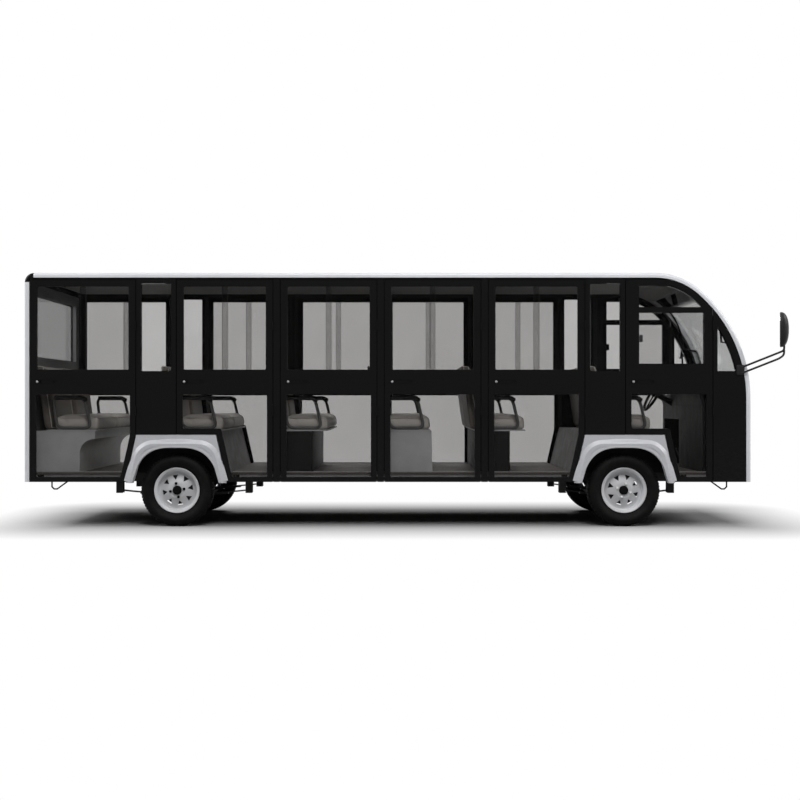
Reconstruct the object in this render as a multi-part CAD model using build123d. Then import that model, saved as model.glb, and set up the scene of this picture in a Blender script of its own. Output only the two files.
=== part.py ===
from build123d import *
from collections import namedtuple
import math
import os

os.makedirs("parts", exist_ok=True)

# Frame: +X is the front, +Y is the left side, +Z is up, the ground is Z = 0. Millimetres.
# Sizes along X are drawn from a point near mid-length. write() moves every solid by the same
# shift, so that the origin lies under the middle of the overall length, mirrors included.

# Body envelope
HALF_W = 755.0
ROOF_TOP = 2086.0
ROOF_T = 41.0
SKIRT_Z = 368.0
REAR_X = -3132.0
FRONT_X = 2835.0
BUMPER_OUT = 11.0
SEAM = 6.0
DOOR_T = 34.0
WALL_T = 40.0
RAIL_H = 17.0
REAR_T = 46.0
EDGE_R = 26.0
FIT = 0.3
OVERCUT = 1.0
TOUCH = 0.01

# Front outline, two arcs from the roof into the upright nose
ARC_TOP_R = 574.0
ARC_TOP_ANGLE = 40.0
ARC_NOSE_R = 1173.0

# Floor and chassis
FLOOR_TOP = 445.0
FLOOR_T = 20.0
FLOOR_SETBACK = 135.0
FRAME_Y = 370.0
FRAME_W = 60.0
FRAME_H = 75.0

# Wheels and axles
REAR_AXLE_X = -1884.0
FRONT_AXLE_X = 1797.0
TYRE_R = 297.0
TYRE_W = 165.0
WHEEL_Y = 662.0
RIM_SEAT_R = 168.0
RIM_FLANGE_R = 187.0
SPINDLE_R = 20.0
RUN_FIT = 0.05
KINGPIN_IN = 72.0
KINGPIN_R = 10.0
ARM_LEN = 120.0
TIE_RISE = 3.0

# Fenders
FENDER_TOP_Z = 754.0
FENDER_LOW_Z = 360.0
FENDER_TOP_HALF = 326.0
FENDER_LOW_HALF = 414.0
ARCH_TOP_Z = 655.0
ARCH_LOW_HALF = 355.0
ARCH_TOP_HALF = 268.0
ARCH_R = 130.0
LIP_W = 58.0
LIP_OUT = 22.0
LIP_TAPER = 55.0

# Windows: tops are measured down from the roof top
UPPER_DROP = 111.0
UPPER_LOW = 1287.0
LOWER_TOP = 1090.0
LOWER_SILL = 37.0
STILE = 54.0
LOWER_STILE = 44.0
SILL_OVER_FENDER = 49.0
WINDOW_R = 12.0
PANE_R = 16.0
PANE_T = 4.0
PANE_LAP = 45.0
PANE_OFFSET = 2.0
FIXED_DROP = 90.0
FIXED_LOW = 1278.0
FIXED_STILE = 40.0
CURVE_STILE = 59.0

# Doors: seams measured from the axles, the rear wall and the nose
REAR_DOOR_END = 330.0
SECOND_DOOR_START = 2.0
FIFTH_DOOR_END = 327.0
DRIVER_DOOR_START = 6.0
DRIVER_DOOR_END = 315.0
POST_W = 60.0
BAYS = ("second", "third", "fourth", "fifth")
DRIVER_POST = 112.0
DRIVER_STILE = 74.0
DRIVER_PANE_LOW = 1339.0
DRIVER_BAR_DROP = 283.0
DRIVER_BAR_H = 47.0
QUARTER_POST = 38.0
HINGE_LOW_Z = 950.0
HINGE_DROP = 436.0
HINGE_OUT = 8.0
HINGE_R = 7.0
HINGE_PIN_R = 4.0
HINGE_LEN = 40.0
HINGE_KNUCKLE = 18.0
HINGE_LEAF = 34.0
HINGE_LEAF_T = 4.0
HINGE_GAP = 1.0
HANDLE_Z = 1190.0
HANDLE_LEN = 165.0
HANDLE_START = 22.0
HANDLE_H = 30.0
HANDLE_INSET = 62.0
HANDLE_DEPTH = 12.0
HANDLE_R = 10.0
GRIP_START = 30.0
GRIP_END = 34.0
GRIP_H = 18.0
GRIP_R = 6.0
KNOB_R = 15.0
KNOB_OUT = 6.0

# Seats: cushion front edges ahead of the rear wall, an axle or a door's rear seam
REAR_ROW_AHEAD = 546.0
SECOND_ROW_AHEAD = 381.0
THIRD_ROW_AHEAD = 395.0
FOURTH_ROW_AHEAD = 388.0
FIFTH_ROW_AHEAD = 321.0
DRIVER_ROW_AHEAD = 250.0
SEAT_DEPTH = 385.0
SEAT_TOP = 905.0
CUSHION_T = 110.0
CUSHION_R = 30.0
SEAT_SIDE = 105.0
SEAT_GAP = 12.0
SEAT_PLATE_T = 10.0
PLATE_REAR = 40.0
PLATE_FRONT = 10.0
BACK_TOP = 1345.0
BACK_T = 80.0
BACK_LEAN = 8.0
ARM_TOP = 1075.0
ARM_R = 13.0
ARM_PAD_R = 20.0
ARM_SIDE = 73.0
ARM_BEND = 45.0
ARM_FRONT_TOP = 118.0
ARM_FRONT_LOW = 59.0
ARM_REAR_TOP = 12.0
ARM_REAR_LOW = 45.0
BASE_SIDE = 65.0
BASE_REAR = 20.0
COVE_BACK = 26.0
COVE_TOP = 722.0
COVE_R = 128.0
PEDESTAL_BACK = 140.0
BATTERY_TOP = 2.0
BATTERY_FLARE = 9.0

# Springs
SPRING_W = 50.0
SPRING_T = 9.0
SPRING_TOP_Z = 247.0
SPRING_EYE_Z = 275.0
SPRING_EYE_R = 17.0
SPRING_PIN_R = 8.0
SPRING_SIDE = 1.0
FRONT_SPRING_HALF = 460.0
REAR_SPRING_HALF = 550.0

# Steering wheel
COLUMN_Y = 360.0
STEER_SETBACK = 545.0
STEER_Z = 1105.0
STEER_TILT = 30.0
STEER_R = 175.0
STEER_TUBE_R = 13.0
SHAFT_R = 9.0

# Right-hand mirror head, turned so that its glass faces back and inward
MIRROR_AHEAD = 202.0
MIRROR_CLEAR = 15.0
MIRROR_W = 160.0
MIRROR_LOW = 1469.0
MIRROR_TOP = 1754.0
MIRROR_DEPTH = 70.0
MIRROR_TURN = 18.4
Section = namedtuple("Section", "share part")
MIRROR_SECTIONS = (Section(0.0, 0.96), Section(0.18, 1.0), Section(0.7, 0.82), Section(1.0, 0.45))
mirror_turn = math.radians(MIRROR_TURN)
mirror_in = HALF_W + MIRROR_CLEAR
mirror_out = mirror_in + MIRROR_W
mirror_half = MIRROR_W / 2
mirror_reach = max(
    section.share * MIRROR_DEPTH * math.cos(mirror_turn) + section.part * mirror_half * math.sin(mirror_turn)
    for section in MIRROR_SECTIONS
)
FRAME_SHIFT = -(REAR_X - BUMPER_OUT + FRONT_X + MIRROR_AHEAD + mirror_reach) / 2

# Places that follow from the sizes
AXLES = (REAR_AXLE_X, FRONT_AXLE_X)
WALL_IN = HALF_W - WALL_T
DOOR_IN = HALF_W - DOOR_T
DOOR_TOP = ROOF_TOP - ROOF_T - RAIL_H
HINGE_Y = HALF_W + HINGE_OUT
HINGE_Z = (HINGE_LOW_Z, ROOF_TOP - HINGE_DROP)
PANE_MID = HALF_W - DOOR_T / 2
UPPER_TOP = ROOF_TOP - UPPER_DROP
FIXED_TOP = ROOF_TOP - FIXED_DROP
LOWER_LOW = SKIRT_Z + LOWER_SILL
KINGPIN_Y = WHEEL_Y - KINGPIN_IN
TIE_Z = TYRE_R + TIE_RISE
rear_in = REAR_X + REAR_T
floor_low = FLOOR_TOP - FLOOR_T
floor_front = FRONT_X - FLOOR_SETBACK
arc_angle = math.radians(ARC_TOP_ANGLE)
nose_cx = FRONT_X - ARC_NOSE_R
top_cx = nose_cx + (ARC_NOSE_R - ARC_TOP_R) * math.sin(arc_angle)
top_cz = ROOF_TOP - ARC_TOP_R
nose_cz = top_cz - (ARC_NOSE_R - ARC_TOP_R) * math.cos(arc_angle)

Door = namedtuple("Door", "name rear front")
bay_rear = REAR_AXLE_X + SECOND_DOOR_START
bay_front = FRONT_AXLE_X - FIFTH_DOOR_END
bay_w = (bay_front - bay_rear - (len(BAYS) - 1) * POST_W) / len(BAYS)
DOORS = [Door("rear", rear_in, REAR_AXLE_X - REAR_DOOR_END)]
for count, name in enumerate(BAYS):
    start = bay_rear + count * (bay_w + POST_W)
    DOORS.append(Door(name, start, start + bay_w))
DOORS.append(Door("driver", FRONT_AXLE_X + DRIVER_DOOR_START, FRONT_X - DRIVER_DOOR_END))
seams = {door.name: door for door in DOORS}


def box(x0, x1, y0, y1, z0, z1):
    return Pos((x0 + x1) / 2, (y0 + y1) / 2, (z0 + z1) / 2) * Box(x1 - x0, y1 - y0, z1 - z0)


def polygon(*points):
    return make_face(Polyline(*points, close=True))


def rect(x0, x1, z0, z1):
    return polygon((x0, z0), (x1, z0), (x1, z1), (x0, z1))


def slab(face, y_in, y_out):
    """Right-hand plate from a side-view face: from Y = -y_in out to Y = -y_out."""
    return extrude(Plane.XZ.offset(y_in) * face, amount=y_out - y_in)


def across(face, half):
    """Piece of one side-view outline right across the vehicle."""
    return extrude(Plane.XZ.offset(-half) * face, amount=2 * half)


def rounded(face, radius):
    """Face with its outward corners rounded; corners that point inward stay sharp."""
    span = face.bounding_box()
    corners = []
    for corner in face.vertices():
        sides = (corner.X - span.min.X, span.max.X - corner.X, corner.Y - span.min.Y, span.max.Y - corner.Y)
        if min(sides) < TOUCH:
            corners.append(corner)
    return fillet(corners, radius)


def left(shape):
    return mirror(shape, about=Plane.XZ)


def bar(start, end, radius):
    """Round bar between two points."""
    a, b = Vector(*start), Vector(*end)
    align = (Align.CENTER, Align.CENTER, Align.MIN)
    return Plane(origin=a, z_dir=b - a) * Cylinder(radius, (b - a).length, align=align)


def rod(points, radius):
    """Round bar through the points, with ball corners."""
    out = None
    for start, end in zip(points[:-1], points[1:]):
        length = bar(start, end, radius)
        out = length if out is None else out + length
    for corner in points[1:-1]:
        out = out + Pos(*corner) * Sphere(radius)
    return out


def pin_y(x, y0, y1, z, radius):
    """Round bar along Y."""
    return Pos(x, (y0 + y1) / 2, z) * Rot(90, 0, 0) * Cylinder(radius, abs(y1 - y0))


def pin_z(x, y, z0, z1, radius):
    """Upright round bar."""
    return Pos(x, y, (z0 + z1) / 2) * Cylinder(radius, z1 - z0)


def write(name, *shapes):
    """One STEP file of all the solids, moved so that the origin is under mid-length."""
    solids = []
    for shape in shapes:
        solids.extend(Pos(FRAME_SHIFT, 0, 0) * solid for solid in shape.solids())
    export_step(Compound(children=solids) if len(solids) > 1 else solids[0], f"parts/{name}.step")


def front_x(z):
    """X of the roof-to-nose curve at one height."""
    if z <= nose_cz:
        return FRONT_X
    if z <= nose_cz + ARC_NOSE_R * math.cos(arc_angle):
        return nose_cx + math.sqrt(ARC_NOSE_R**2 - (z - nose_cz) ** 2)
    return top_cx + math.sqrt(ARC_TOP_R**2 - (z - top_cz) ** 2)


def front_outline(inset, low=SKIRT_Z, rear=0.0):
    """Side-view region behind the roof-to-nose curve, moved inward by the inset, ahead of the rear line."""
    top_r = ARC_TOP_R - inset
    nose_r = ARC_NOSE_R - inset
    nose_mid = (arc_angle + math.pi / 2) / 2

    def on_top(turn):
        return (top_cx + top_r * math.sin(turn), top_cz + top_r * math.cos(turn))

    def on_nose(turn):
        return (nose_cx + nose_r * math.sin(turn), nose_cz + nose_r * math.cos(turn))

    start = (top_cx, ROOF_TOP - inset)
    end = (FRONT_X - inset, nose_cz)
    tail = 0.0
    edges = [
        Line((tail, ROOF_TOP - inset), start),
        ThreePointArc(start, on_top(arc_angle / 2), on_top(arc_angle)),
        ThreePointArc(on_top(arc_angle), on_nose(nose_mid), end),
        Line(end, (FRONT_X - inset, low)),
        Line((FRONT_X - inset, low), (tail, low)),
        Line((tail, low), (tail, ROOF_TOP - inset)),
    ]
    return make_face(Wire(edges)) & rect(rear, FRONT_X, low, ROOF_TOP)


def fender_outline(axle_x, grow=0.0, lift=0.0, low=0.0):
    """Fender trapezoid in side view, grown sideways and upward."""
    slope = (FENDER_LOW_HALF - FENDER_TOP_HALF) / (FENDER_TOP_Z - FENDER_LOW_Z)
    top_half = FENDER_TOP_HALF + grow - slope * lift
    low_half = FENDER_LOW_HALF + grow + slope * low
    top_z = FENDER_TOP_Z + lift
    low_z = FENDER_LOW_Z - low
    return polygon(
        (axle_x - low_half, low_z),
        (axle_x + low_half, low_z),
        (axle_x + top_half, top_z),
        (axle_x - top_half, top_z),
    )


def clear_of_fenders(face, grow, lift):
    below = FENDER_LOW_Z / 2
    for axle_x in AXLES:
        face = face - fender_outline(axle_x, grow, lift, below)
    return face


# Hinges: the door carries the tube, the post carries the pin and two short tubes
def hinge_tube(x):
    out = None
    for z in HINGE_Z:
        z0, z1 = z - HINGE_LEN / 2, z + HINGE_LEN / 2
        leaf = box(x - HINGE_LEAF, x - HINGE_PIN_R - HINGE_GAP, -HALF_W - HINGE_LEAF_T, -HALF_W, z0, z1)
        tube = leaf + pin_z(x, -HINGE_Y, z0, z1, HINGE_R)
        tube = tube - pin_z(x, -HINGE_Y, z0, z1, HINGE_PIN_R + RUN_FIT)
        out = tube if out is None else out + tube
    return out


def hinge_pin(x):
    out = None
    for z in HINGE_Z:
        half = HINGE_LEN / 2 + HINGE_GAP
        pin = pin_z(x, -HINGE_Y, z - half - HINGE_KNUCKLE, z + half + HINGE_KNUCKLE, HINGE_PIN_R)
        for z0 in (z - half - HINGE_KNUCKLE, z + half):
            leaf = box(x, x + HINGE_LEAF, -HALF_W - HINGE_LEAF_T, -HALF_W, z0, z0 + HINGE_KNUCKLE)
            pin = pin + leaf + pin_z(x, -HINGE_Y, z0, z0 + HINGE_KNUCKLE, HINGE_R)
        out = pin if out is None else out + pin
    return out


# Doors
def handle_recess(x):
    low, high = HANDLE_Z - HANDLE_H / 2, HANDLE_Z + HANDLE_H / 2
    recess = rounded(rect(x + HANDLE_START, x + HANDLE_LEN, low, high), HANDLE_R)
    return slab(recess, HALF_W - HANDLE_DEPTH, HALF_W)


def handle_grip(x):
    low, high = HANDLE_Z - GRIP_H / 2, HANDLE_Z + GRIP_H / 2
    grip = rounded(rect(x + GRIP_START, x + HANDLE_LEN - GRIP_END, low, high), GRIP_R)
    knob = pin_y(x, -HALF_W, -HALF_W - KNOB_OUT, HANDLE_Z, KNOB_R)
    return slab(grip, HALF_W - HANDLE_DEPTH, HALF_W - OVERCUT) + knob


def panes(face, window):
    """Two sliding panes that lap at mid-window."""
    low, high = window
    mid = (low + high) / 2
    rear_part = face & rect(low, mid + PANE_LAP / 2, 0, ROOF_TOP)
    front_part = face & rect(mid - PANE_LAP / 2, high, 0, ROOF_TOP)
    outer = slab(rear_part, PANE_MID + PANE_OFFSET, PANE_MID + PANE_OFFSET + PANE_T)
    inner = slab(front_part, PANE_MID - PANE_OFFSET - PANE_T, PANE_MID - PANE_OFFSET)
    return [outer, inner]


def door_leaf(name, rear, front):
    """Right-hand door with its handle and hinge tubes, and its panes."""
    x0, x1 = rear + SEAM / 2, front - SEAM / 2
    outline = rect(x0, x1, SKIRT_Z, DOOR_TOP)
    outline = clear_of_fenders(outline, SEAM, SEAM)
    lower = rect(x0 + LOWER_STILE, x1 - LOWER_STILE, LOWER_LOW, LOWER_TOP)
    lower = clear_of_fenders(lower, SEAM + LOWER_STILE, SILL_OVER_FENDER)
    glass = []
    if name == "driver":
        outline = outline & front_outline(ROOF_T + SEAM)
        window = rect(rear + DRIVER_POST, front - DRIVER_STILE, DRIVER_PANE_LOW, UPPER_TOP)
        bar_top = ROOF_TOP - DRIVER_BAR_DROP
        middle_bar = rect(x0, x1, bar_top - DRIVER_BAR_H, bar_top)
        holes = (window & front_outline(ROOF_T + CURVE_STILE)) - middle_bar
        fit = (window & front_outline(ROOF_T + CURVE_STILE + FIT)) - middle_bar
        for face in fit.faces():
            glass.append(slab(face, PANE_MID - PANE_T / 2, PANE_MID + PANE_T / 2))
    else:
        window = (x0 + STILE, x1 - STILE)
        holes = rounded(rect(*window, UPPER_LOW, UPPER_TOP), WINDOW_R)
        glass.extend(panes(rounded(rect(*window, UPPER_LOW, UPPER_TOP), PANE_R), window))
    glass.append(slab(rounded(lower, PANE_R), PANE_MID - PANE_T / 2, PANE_MID + PANE_T / 2))
    leaf = slab(outline, DOOR_IN, HALF_W)
    for face in list(holes.faces()) + [rounded(lower, WINDOW_R)]:
        leaf = leaf - slab(face, DOOR_IN - OVERCUT, HALF_W + OVERCUT)
    grip_x = x0 + HANDLE_INSET
    leaf = leaf - handle_recess(grip_x) + handle_grip(grip_x) + hinge_tube(front)
    return leaf, glass


for name, rear, front in DOORS:
    leaf, glass = door_leaf(name, rear, front)
    write(f"door_{name}_right", leaf)
    write(f"glass_{name}_right", *glass)
    write(f"door_{name}_left", left(leaf))
    write(f"glass_{name}_left", *[left(pane) for pane in glass])

# Side frames: cant rail over the doors with the posts between them
side_frame = box(rear_in, seams["driver"].rear, -HALF_W, -WALL_IN, DOOR_TOP + SEAM, ROOF_TOP - ROOF_T)
for behind, ahead in zip(BAYS[:-1], BAYS[1:]):
    x0 = seams[behind].front + SEAM / 2
    x1 = seams[ahead].rear - SEAM / 2
    side_frame = side_frame + box(x0, x1, -HALF_W, -WALL_IN, SKIRT_Z, DOOR_TOP + SEAM)
    side_frame = side_frame + hinge_pin(seams[behind].front)
write("side_frames", side_frame, left(side_frame))

# Fixed panels over the wheels and the front quarter panels
panels = []
side_glass = []
for behind, ahead in (("rear", "second"), ("fifth", "driver")):
    x0 = seams[behind].front + SEAM / 2
    x1 = seams[ahead].rear - SEAM / 2
    face = rect(x0, x1, FENDER_TOP_Z, DOOR_TOP + SEAM)
    hole = rect(x0 + FIXED_STILE, x1 - FIXED_STILE, FIXED_LOW, FIXED_TOP)
    panel = slab(face, WALL_IN, HALF_W)
    panel = panel - slab(rounded(hole, WINDOW_R), WALL_IN - OVERCUT, HALF_W + OVERCUT)
    panels.append(panel + hinge_pin(seams[behind].front))
    side_glass.append(slab(rounded(hole, PANE_R), PANE_MID - PANE_T / 2, PANE_MID + PANE_T / 2))
quarter_rear = seams["driver"].front + SEAM / 2
pane_rear = seams["driver"].front + QUARTER_POST
quarter = front_outline(ROOF_T + FIT, SKIRT_Z, quarter_rear)
quarter_hole = front_outline(ROOF_T + CURVE_STILE, FIXED_LOW, pane_rear)
quarter_pane = front_outline(ROOF_T + CURVE_STILE + FIT, FIXED_LOW, pane_rear)
panel = slab(quarter, WALL_IN, HALF_W) - slab(quarter_hole, WALL_IN - OVERCUT, HALF_W + OVERCUT)
panels.append(panel + hinge_pin(seams["driver"].front))
side_glass.append(slab(quarter_pane, PANE_MID - PANE_T / 2, PANE_MID + PANE_T / 2))
write("side_panels", *panels, *[left(panel) for panel in panels])

# Rear panel with its window, and the bulge of the rear bumper
REAR_PANE_SIDE = 155.0
REAR_PANE_LOW = 1400.0
REAR_PANE_DROP = 166.0
REAR_PANE_IN = 6.0
REAR_PANE_T = 5.0
BUMPER_SIDE = 60.0
BUMPER_BELOW = 4.0
BUMPER_H = 209.0
BUMPER_ROOT = 20.0
BUMPER_EDGE = 2.0
CAP_R = 78.0
cap_low = ROOF_TOP - CAP_R
cap_front = REAR_X + CAP_R
panel_in = rear_in - SEAM / 2
pane_half = HALF_W - REAR_PANE_SIDE
pane_top = ROOF_TOP - REAR_PANE_DROP
rear_panel = box(REAR_X, panel_in, -HALF_W, HALF_W, SKIRT_Z, cap_low)
rear_panel = fillet(rear_panel.edges().filter_by(Axis.Z).group_by(Axis.X)[0], EDGE_R)
rear_panel = rear_panel - box(
    REAR_X - OVERCUT, panel_in + OVERCUT, -pane_half, pane_half, REAR_PANE_LOW, pane_top
)
bumper_half = HALF_W - BUMPER_SIDE
bumper_low = SKIRT_Z - BUMPER_BELOW
bumper = box(
    REAR_X - BUMPER_OUT, REAR_X + BUMPER_ROOT, -bumper_half, bumper_half, bumper_low, bumper_low + BUMPER_H
)
bumper = fillet(bumper.edges().group_by(Axis.X)[0], BUMPER_OUT - BUMPER_EDGE)
rear_panel = rear_panel + bumper
pane_x = REAR_X + REAR_PANE_IN
rear_glass = box(pane_x, pane_x + REAR_PANE_T, -pane_half, pane_half, REAR_PANE_LOW, pane_top)
write("fixed_glass", *side_glass, *[left(pane) for pane in side_glass], rear_glass)

# Roof, its dark rear cap and the front shell
roof_low = ROOF_TOP - ROOF_T
roof_front = seams["driver"].rear
roof = box(cap_front, roof_front, -HALF_W, HALF_W, roof_low, ROOF_TOP)
roof = fillet(roof.edges().filter_by(Axis.X).group_by(Axis.Z)[-1], EDGE_R)
write("roof", roof)
cap_turn = math.sqrt(0.5)
cap_mid = (cap_front - CAP_R * cap_turn, cap_low + CAP_R * cap_turn)
cap_face = make_face(
    Wire(
        [
            Line((REAR_X, cap_low), (panel_in, cap_low)),
            Line((panel_in, cap_low), (panel_in, roof_low)),
            Line((panel_in, roof_low), (cap_front, roof_low)),
            Line((cap_front, roof_low), (cap_front, ROOF_TOP)),
            ThreePointArc((cap_front, ROOF_TOP), cap_mid, (REAR_X, cap_low)),
        ]
    )
)
rear_cap = across(cap_face, HALF_W)
write("rear_cap", fillet(rear_cap.edges().filter_by(GeomType.CIRCLE), EDGE_R))

SCREEN_SIDE = 115.0
SCREEN_LOW = 1060.0
SCREEN_INSET = 8.0
SCREEN_T = 6.0
screen_half = HALF_W - SCREEN_SIDE
shell_face = front_outline(0, SKIRT_Z, roof_front)
shell_face = shell_face - front_outline(ROOF_T, SKIRT_Z - OVERCUT, roof_front - OVERCUT)
front_shell = across(shell_face, HALF_W)
side_edges = []
for edge in front_shell.edges():
    at = edge @ 0.5
    on_curve = abs(at.Z - ROOF_TOP) < TOUCH or abs(at.X - front_x(at.Z)) < TOUCH
    if on_curve and abs(abs(at.Y) - HALF_W) < TOUCH:
        side_edges.append(edge)
front_shell = fillet(side_edges, EDGE_R)
opening = box(top_cx, FRONT_X + OVERCUT, -screen_half, screen_half, SCREEN_LOW, UPPER_TOP)
screen_face = front_outline(SCREEN_INSET, SKIRT_Z, roof_front)
screen_face = screen_face - front_outline(SCREEN_INSET + SCREEN_T, SKIRT_Z - OVERCUT, roof_front - OVERCUT)
write("windscreen", across(screen_face, HALF_W) & opening)
front_shell = front_shell - opening

# Lamps let into the front shell and the rear panel
Lamp = namedtuple("Lamp", "side_in z width height")
HEAD_LAMPS = (Lamp(180.0, 800.0, 210.0, 120.0), Lamp(155.0, 482.0, 60.0, 50.0))
TAIL_LAMPS = (Lamp(100.0, 1050.0, 90.0, 260.0), Lamp(195.0, 640.0, 130.0, 50.0))
LAMP_IN = 30.0
LAMP_OUT = 6.0
HEAD_LAMP_FLAT = 8.0
TAIL_LAMP_R = 20.0


def lens(x, ahead, lamp, side, radius):
    """Rounded lamp lens that stands out ahead of the body face at X."""
    at = Plane(
        origin=(x - ahead * LAMP_IN, side * (HALF_W - lamp.side_in), lamp.z),
        x_dir=(0, 1, 0),
        z_dir=(ahead, 0, 0),
    )
    return extrude(at * RectangleRounded(lamp.width, lamp.height, radius), LAMP_IN + LAMP_OUT)


lamps = []
for side in (-1, 1):
    for lamp in HEAD_LAMPS:
        shape = lens(FRONT_X, 1, lamp, side, (min(lamp.width, lamp.height) - HEAD_LAMP_FLAT) / 2)
        front_shell = front_shell - shape
        lamps.append(shape)
    for lamp in TAIL_LAMPS:
        shape = lens(REAR_X, -1, lamp, side, TAIL_LAMP_R)
        rear_panel = rear_panel - shape
        lamps.append(shape)
write("front_shell", front_shell)
write("rear_panel", rear_panel)
write("lamps", *lamps)


# Fenders: flat panel with a flare that rises to the edge of the wheel arch
def arch_outline(axle_x, grow=0.0):
    low = FENDER_LOW_Z / 2
    face = polygon(
        (axle_x - ARCH_LOW_HALF - grow, low),
        (axle_x - ARCH_LOW_HALF - grow, FENDER_LOW_Z),
        (axle_x - ARCH_TOP_HALF - grow, ARCH_TOP_Z + grow),
        (axle_x + ARCH_TOP_HALF + grow, ARCH_TOP_Z + grow),
        (axle_x + ARCH_LOW_HALF + grow, FENDER_LOW_Z),
        (axle_x + ARCH_LOW_HALF + grow, low),
    )
    return fillet(face.vertices().group_by(Axis.Y)[-1], ARCH_R + grow)


fenders = []
for axle_x in AXLES:
    fender = slab(fender_outline(axle_x), WALL_IN, HALF_W)
    flare = extrude(Plane.XZ.offset(HALF_W) * arch_outline(axle_x, LIP_W), amount=LIP_OUT, taper=LIP_TAPER)
    fender = fender + (flare & slab(fender_outline(axle_x), HALF_W, HALF_W + LIP_OUT))
    fender = fender - slab(arch_outline(axle_x), WALL_IN - OVERCUT, HALF_W + LIP_OUT + OVERCUT)
    fenders.extend([fender, left(fender)])
write("fenders", *fenders)

# Floor, wheel boxes and chassis frame
BOX_LOW_HALF = 425.0
BOX_TOP_HALF = 336.0
BOX_WALL = 15.0
BOX_TOP = SEAT_TOP - CUSHION_T - SEAT_PLATE_T
WELL_GAP = 4.0
rail_in, rail_out = FRAME_Y - FRAME_W / 2, FRAME_Y + FRAME_W / 2
floors = []
stops = [rear_in, REAR_AXLE_X - BOX_LOW_HALF, REAR_AXLE_X + BOX_LOW_HALF]
stops += [FRONT_AXLE_X - BOX_LOW_HALF, FRONT_AXLE_X + BOX_LOW_HALF, floor_front]
for x0, x1 in zip(stops[0::2], stops[1::2]):
    floors.append(box(x0, x1, -WALL_IN, WALL_IN, floor_low, FLOOR_TOP))
write("floor_deck", *floors)
boxes = []
for axle_x in AXLES:
    outer = polygon(
        (axle_x - BOX_LOW_HALF, floor_low),
        (axle_x + BOX_LOW_HALF, floor_low),
        (axle_x + BOX_TOP_HALF, BOX_TOP),
        (axle_x - BOX_TOP_HALF, BOX_TOP),
    )
    inner = polygon(
        (axle_x - BOX_LOW_HALF + BOX_WALL, floor_low - OVERCUT),
        (axle_x + BOX_LOW_HALF - BOX_WALL, floor_low - OVERCUT),
        (axle_x + BOX_TOP_HALF - BOX_WALL, BOX_TOP - BOX_WALL),
        (axle_x - BOX_TOP_HALF + BOX_WALL, BOX_TOP - BOX_WALL),
    )
    well_wall = slab(outer, rail_out + WELL_GAP, rail_out + WELL_GAP + BOX_WALL)
    boxes.append(across(outer - inner, WALL_IN) + well_wall + left(well_wall))
write("wheel_boxes", *boxes)

FRAME_REAR_GAP = 72.0
FRAME_FRONT_GAP = 10.0
END_CROSS = 55.0
AXLE_CROSS = 490.0
CROSS_HALF = 30.0
CROSS_STEP = 10.0
OUTRIGGER_HALF = 25.0
OUTRIGGER_H = 40.0
CHEEK_T = 8.0
CHEEK_HALF = 28.0
CHEEK_BELOW = 25.0
CHEEK_LAP = 20.0
frame_low = floor_low - FRAME_H
frame_rear = REAR_X + FRAME_REAR_GAP
frame_front = floor_front - FRAME_FRONT_GAP
axle_cross = [axle_x + step for axle_x in AXLES for step in (-AXLE_CROSS, AXLE_CROSS)]
post_x = [seams[name].front + POST_W / 2 for name in BAYS[:-1]]
cross_x = [frame_rear + END_CROSS, *axle_cross, *post_x, frame_front - END_CROSS]
outrigger_x = [frame_rear + END_CROSS, *axle_cross[1:], *post_x]
chassis = None
for side in (-1, 1):
    y0, y1 = sorted((side * rail_in, side * rail_out))
    rail = box(frame_rear, frame_front, y0, y1, frame_low, floor_low)
    chassis = rail if chassis is None else chassis + rail
    for x in outrigger_x:
        y0, y1 = sorted((side * rail_out, side * WALL_IN))
        chassis = chassis + box(
            x - OUTRIGGER_HALF, x + OUTRIGGER_HALF, y0, y1, floor_low - OUTRIGGER_H, floor_low
        )
for x in cross_x:
    chassis = chassis + box(
        x - CROSS_HALF, x + CROSS_HALF, -rail_in, rail_in, frame_low + CROSS_STEP, floor_low - CROSS_STEP
    )
SPRINGS = ((REAR_AXLE_X, REAR_SPRING_HALF), (FRONT_AXLE_X, FRONT_SPRING_HALF))
for axle_x, half in SPRINGS:
    for x in (axle_x - half, axle_x + half):
        for side in (-1, 1):
            inner_y = FRAME_Y - SPRING_W / 2 - SPRING_SIDE
            outer_y = FRAME_Y + SPRING_W / 2 + SPRING_SIDE
            for near, far in ((inner_y - CHEEK_T, inner_y), (outer_y, outer_y + CHEEK_T)):
                y0, y1 = sorted((side * near, side * far))
                chassis = chassis + box(
                    x - CHEEK_HALF, x + CHEEK_HALF, y0, y1, SPRING_EYE_Z - CHEEK_BELOW, frame_low + CHEEK_LAP
                )
            y0, y1 = sorted((side * (inner_y - CHEEK_T), side * (outer_y + CHEEK_T)))
            chassis = chassis + pin_y(x, y0, y1, SPRING_EYE_Z, SPRING_PIN_R)
write("chassis_frame", chassis)

# Leaf springs
def leaf_face(centre_x, half, top_z, sag_r, thick):
    cz = top_z + sag_r
    turn = math.asin(half / sag_r)

    def at(radius, angle):
        return (centre_x + radius * math.sin(angle), cz - radius * math.cos(angle))

    low = sag_r + thick
    return make_face(
        Wire(
            [
                ThreePointArc(at(sag_r, -turn), at(sag_r, 0), at(sag_r, turn)),
                Line(at(sag_r, turn), at(low, turn)),
                ThreePointArc(at(low, turn), at(low, 0), at(low, -turn)),
                Line(at(low, -turn), at(sag_r, -turn)),
            ]
        )
    )


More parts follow.
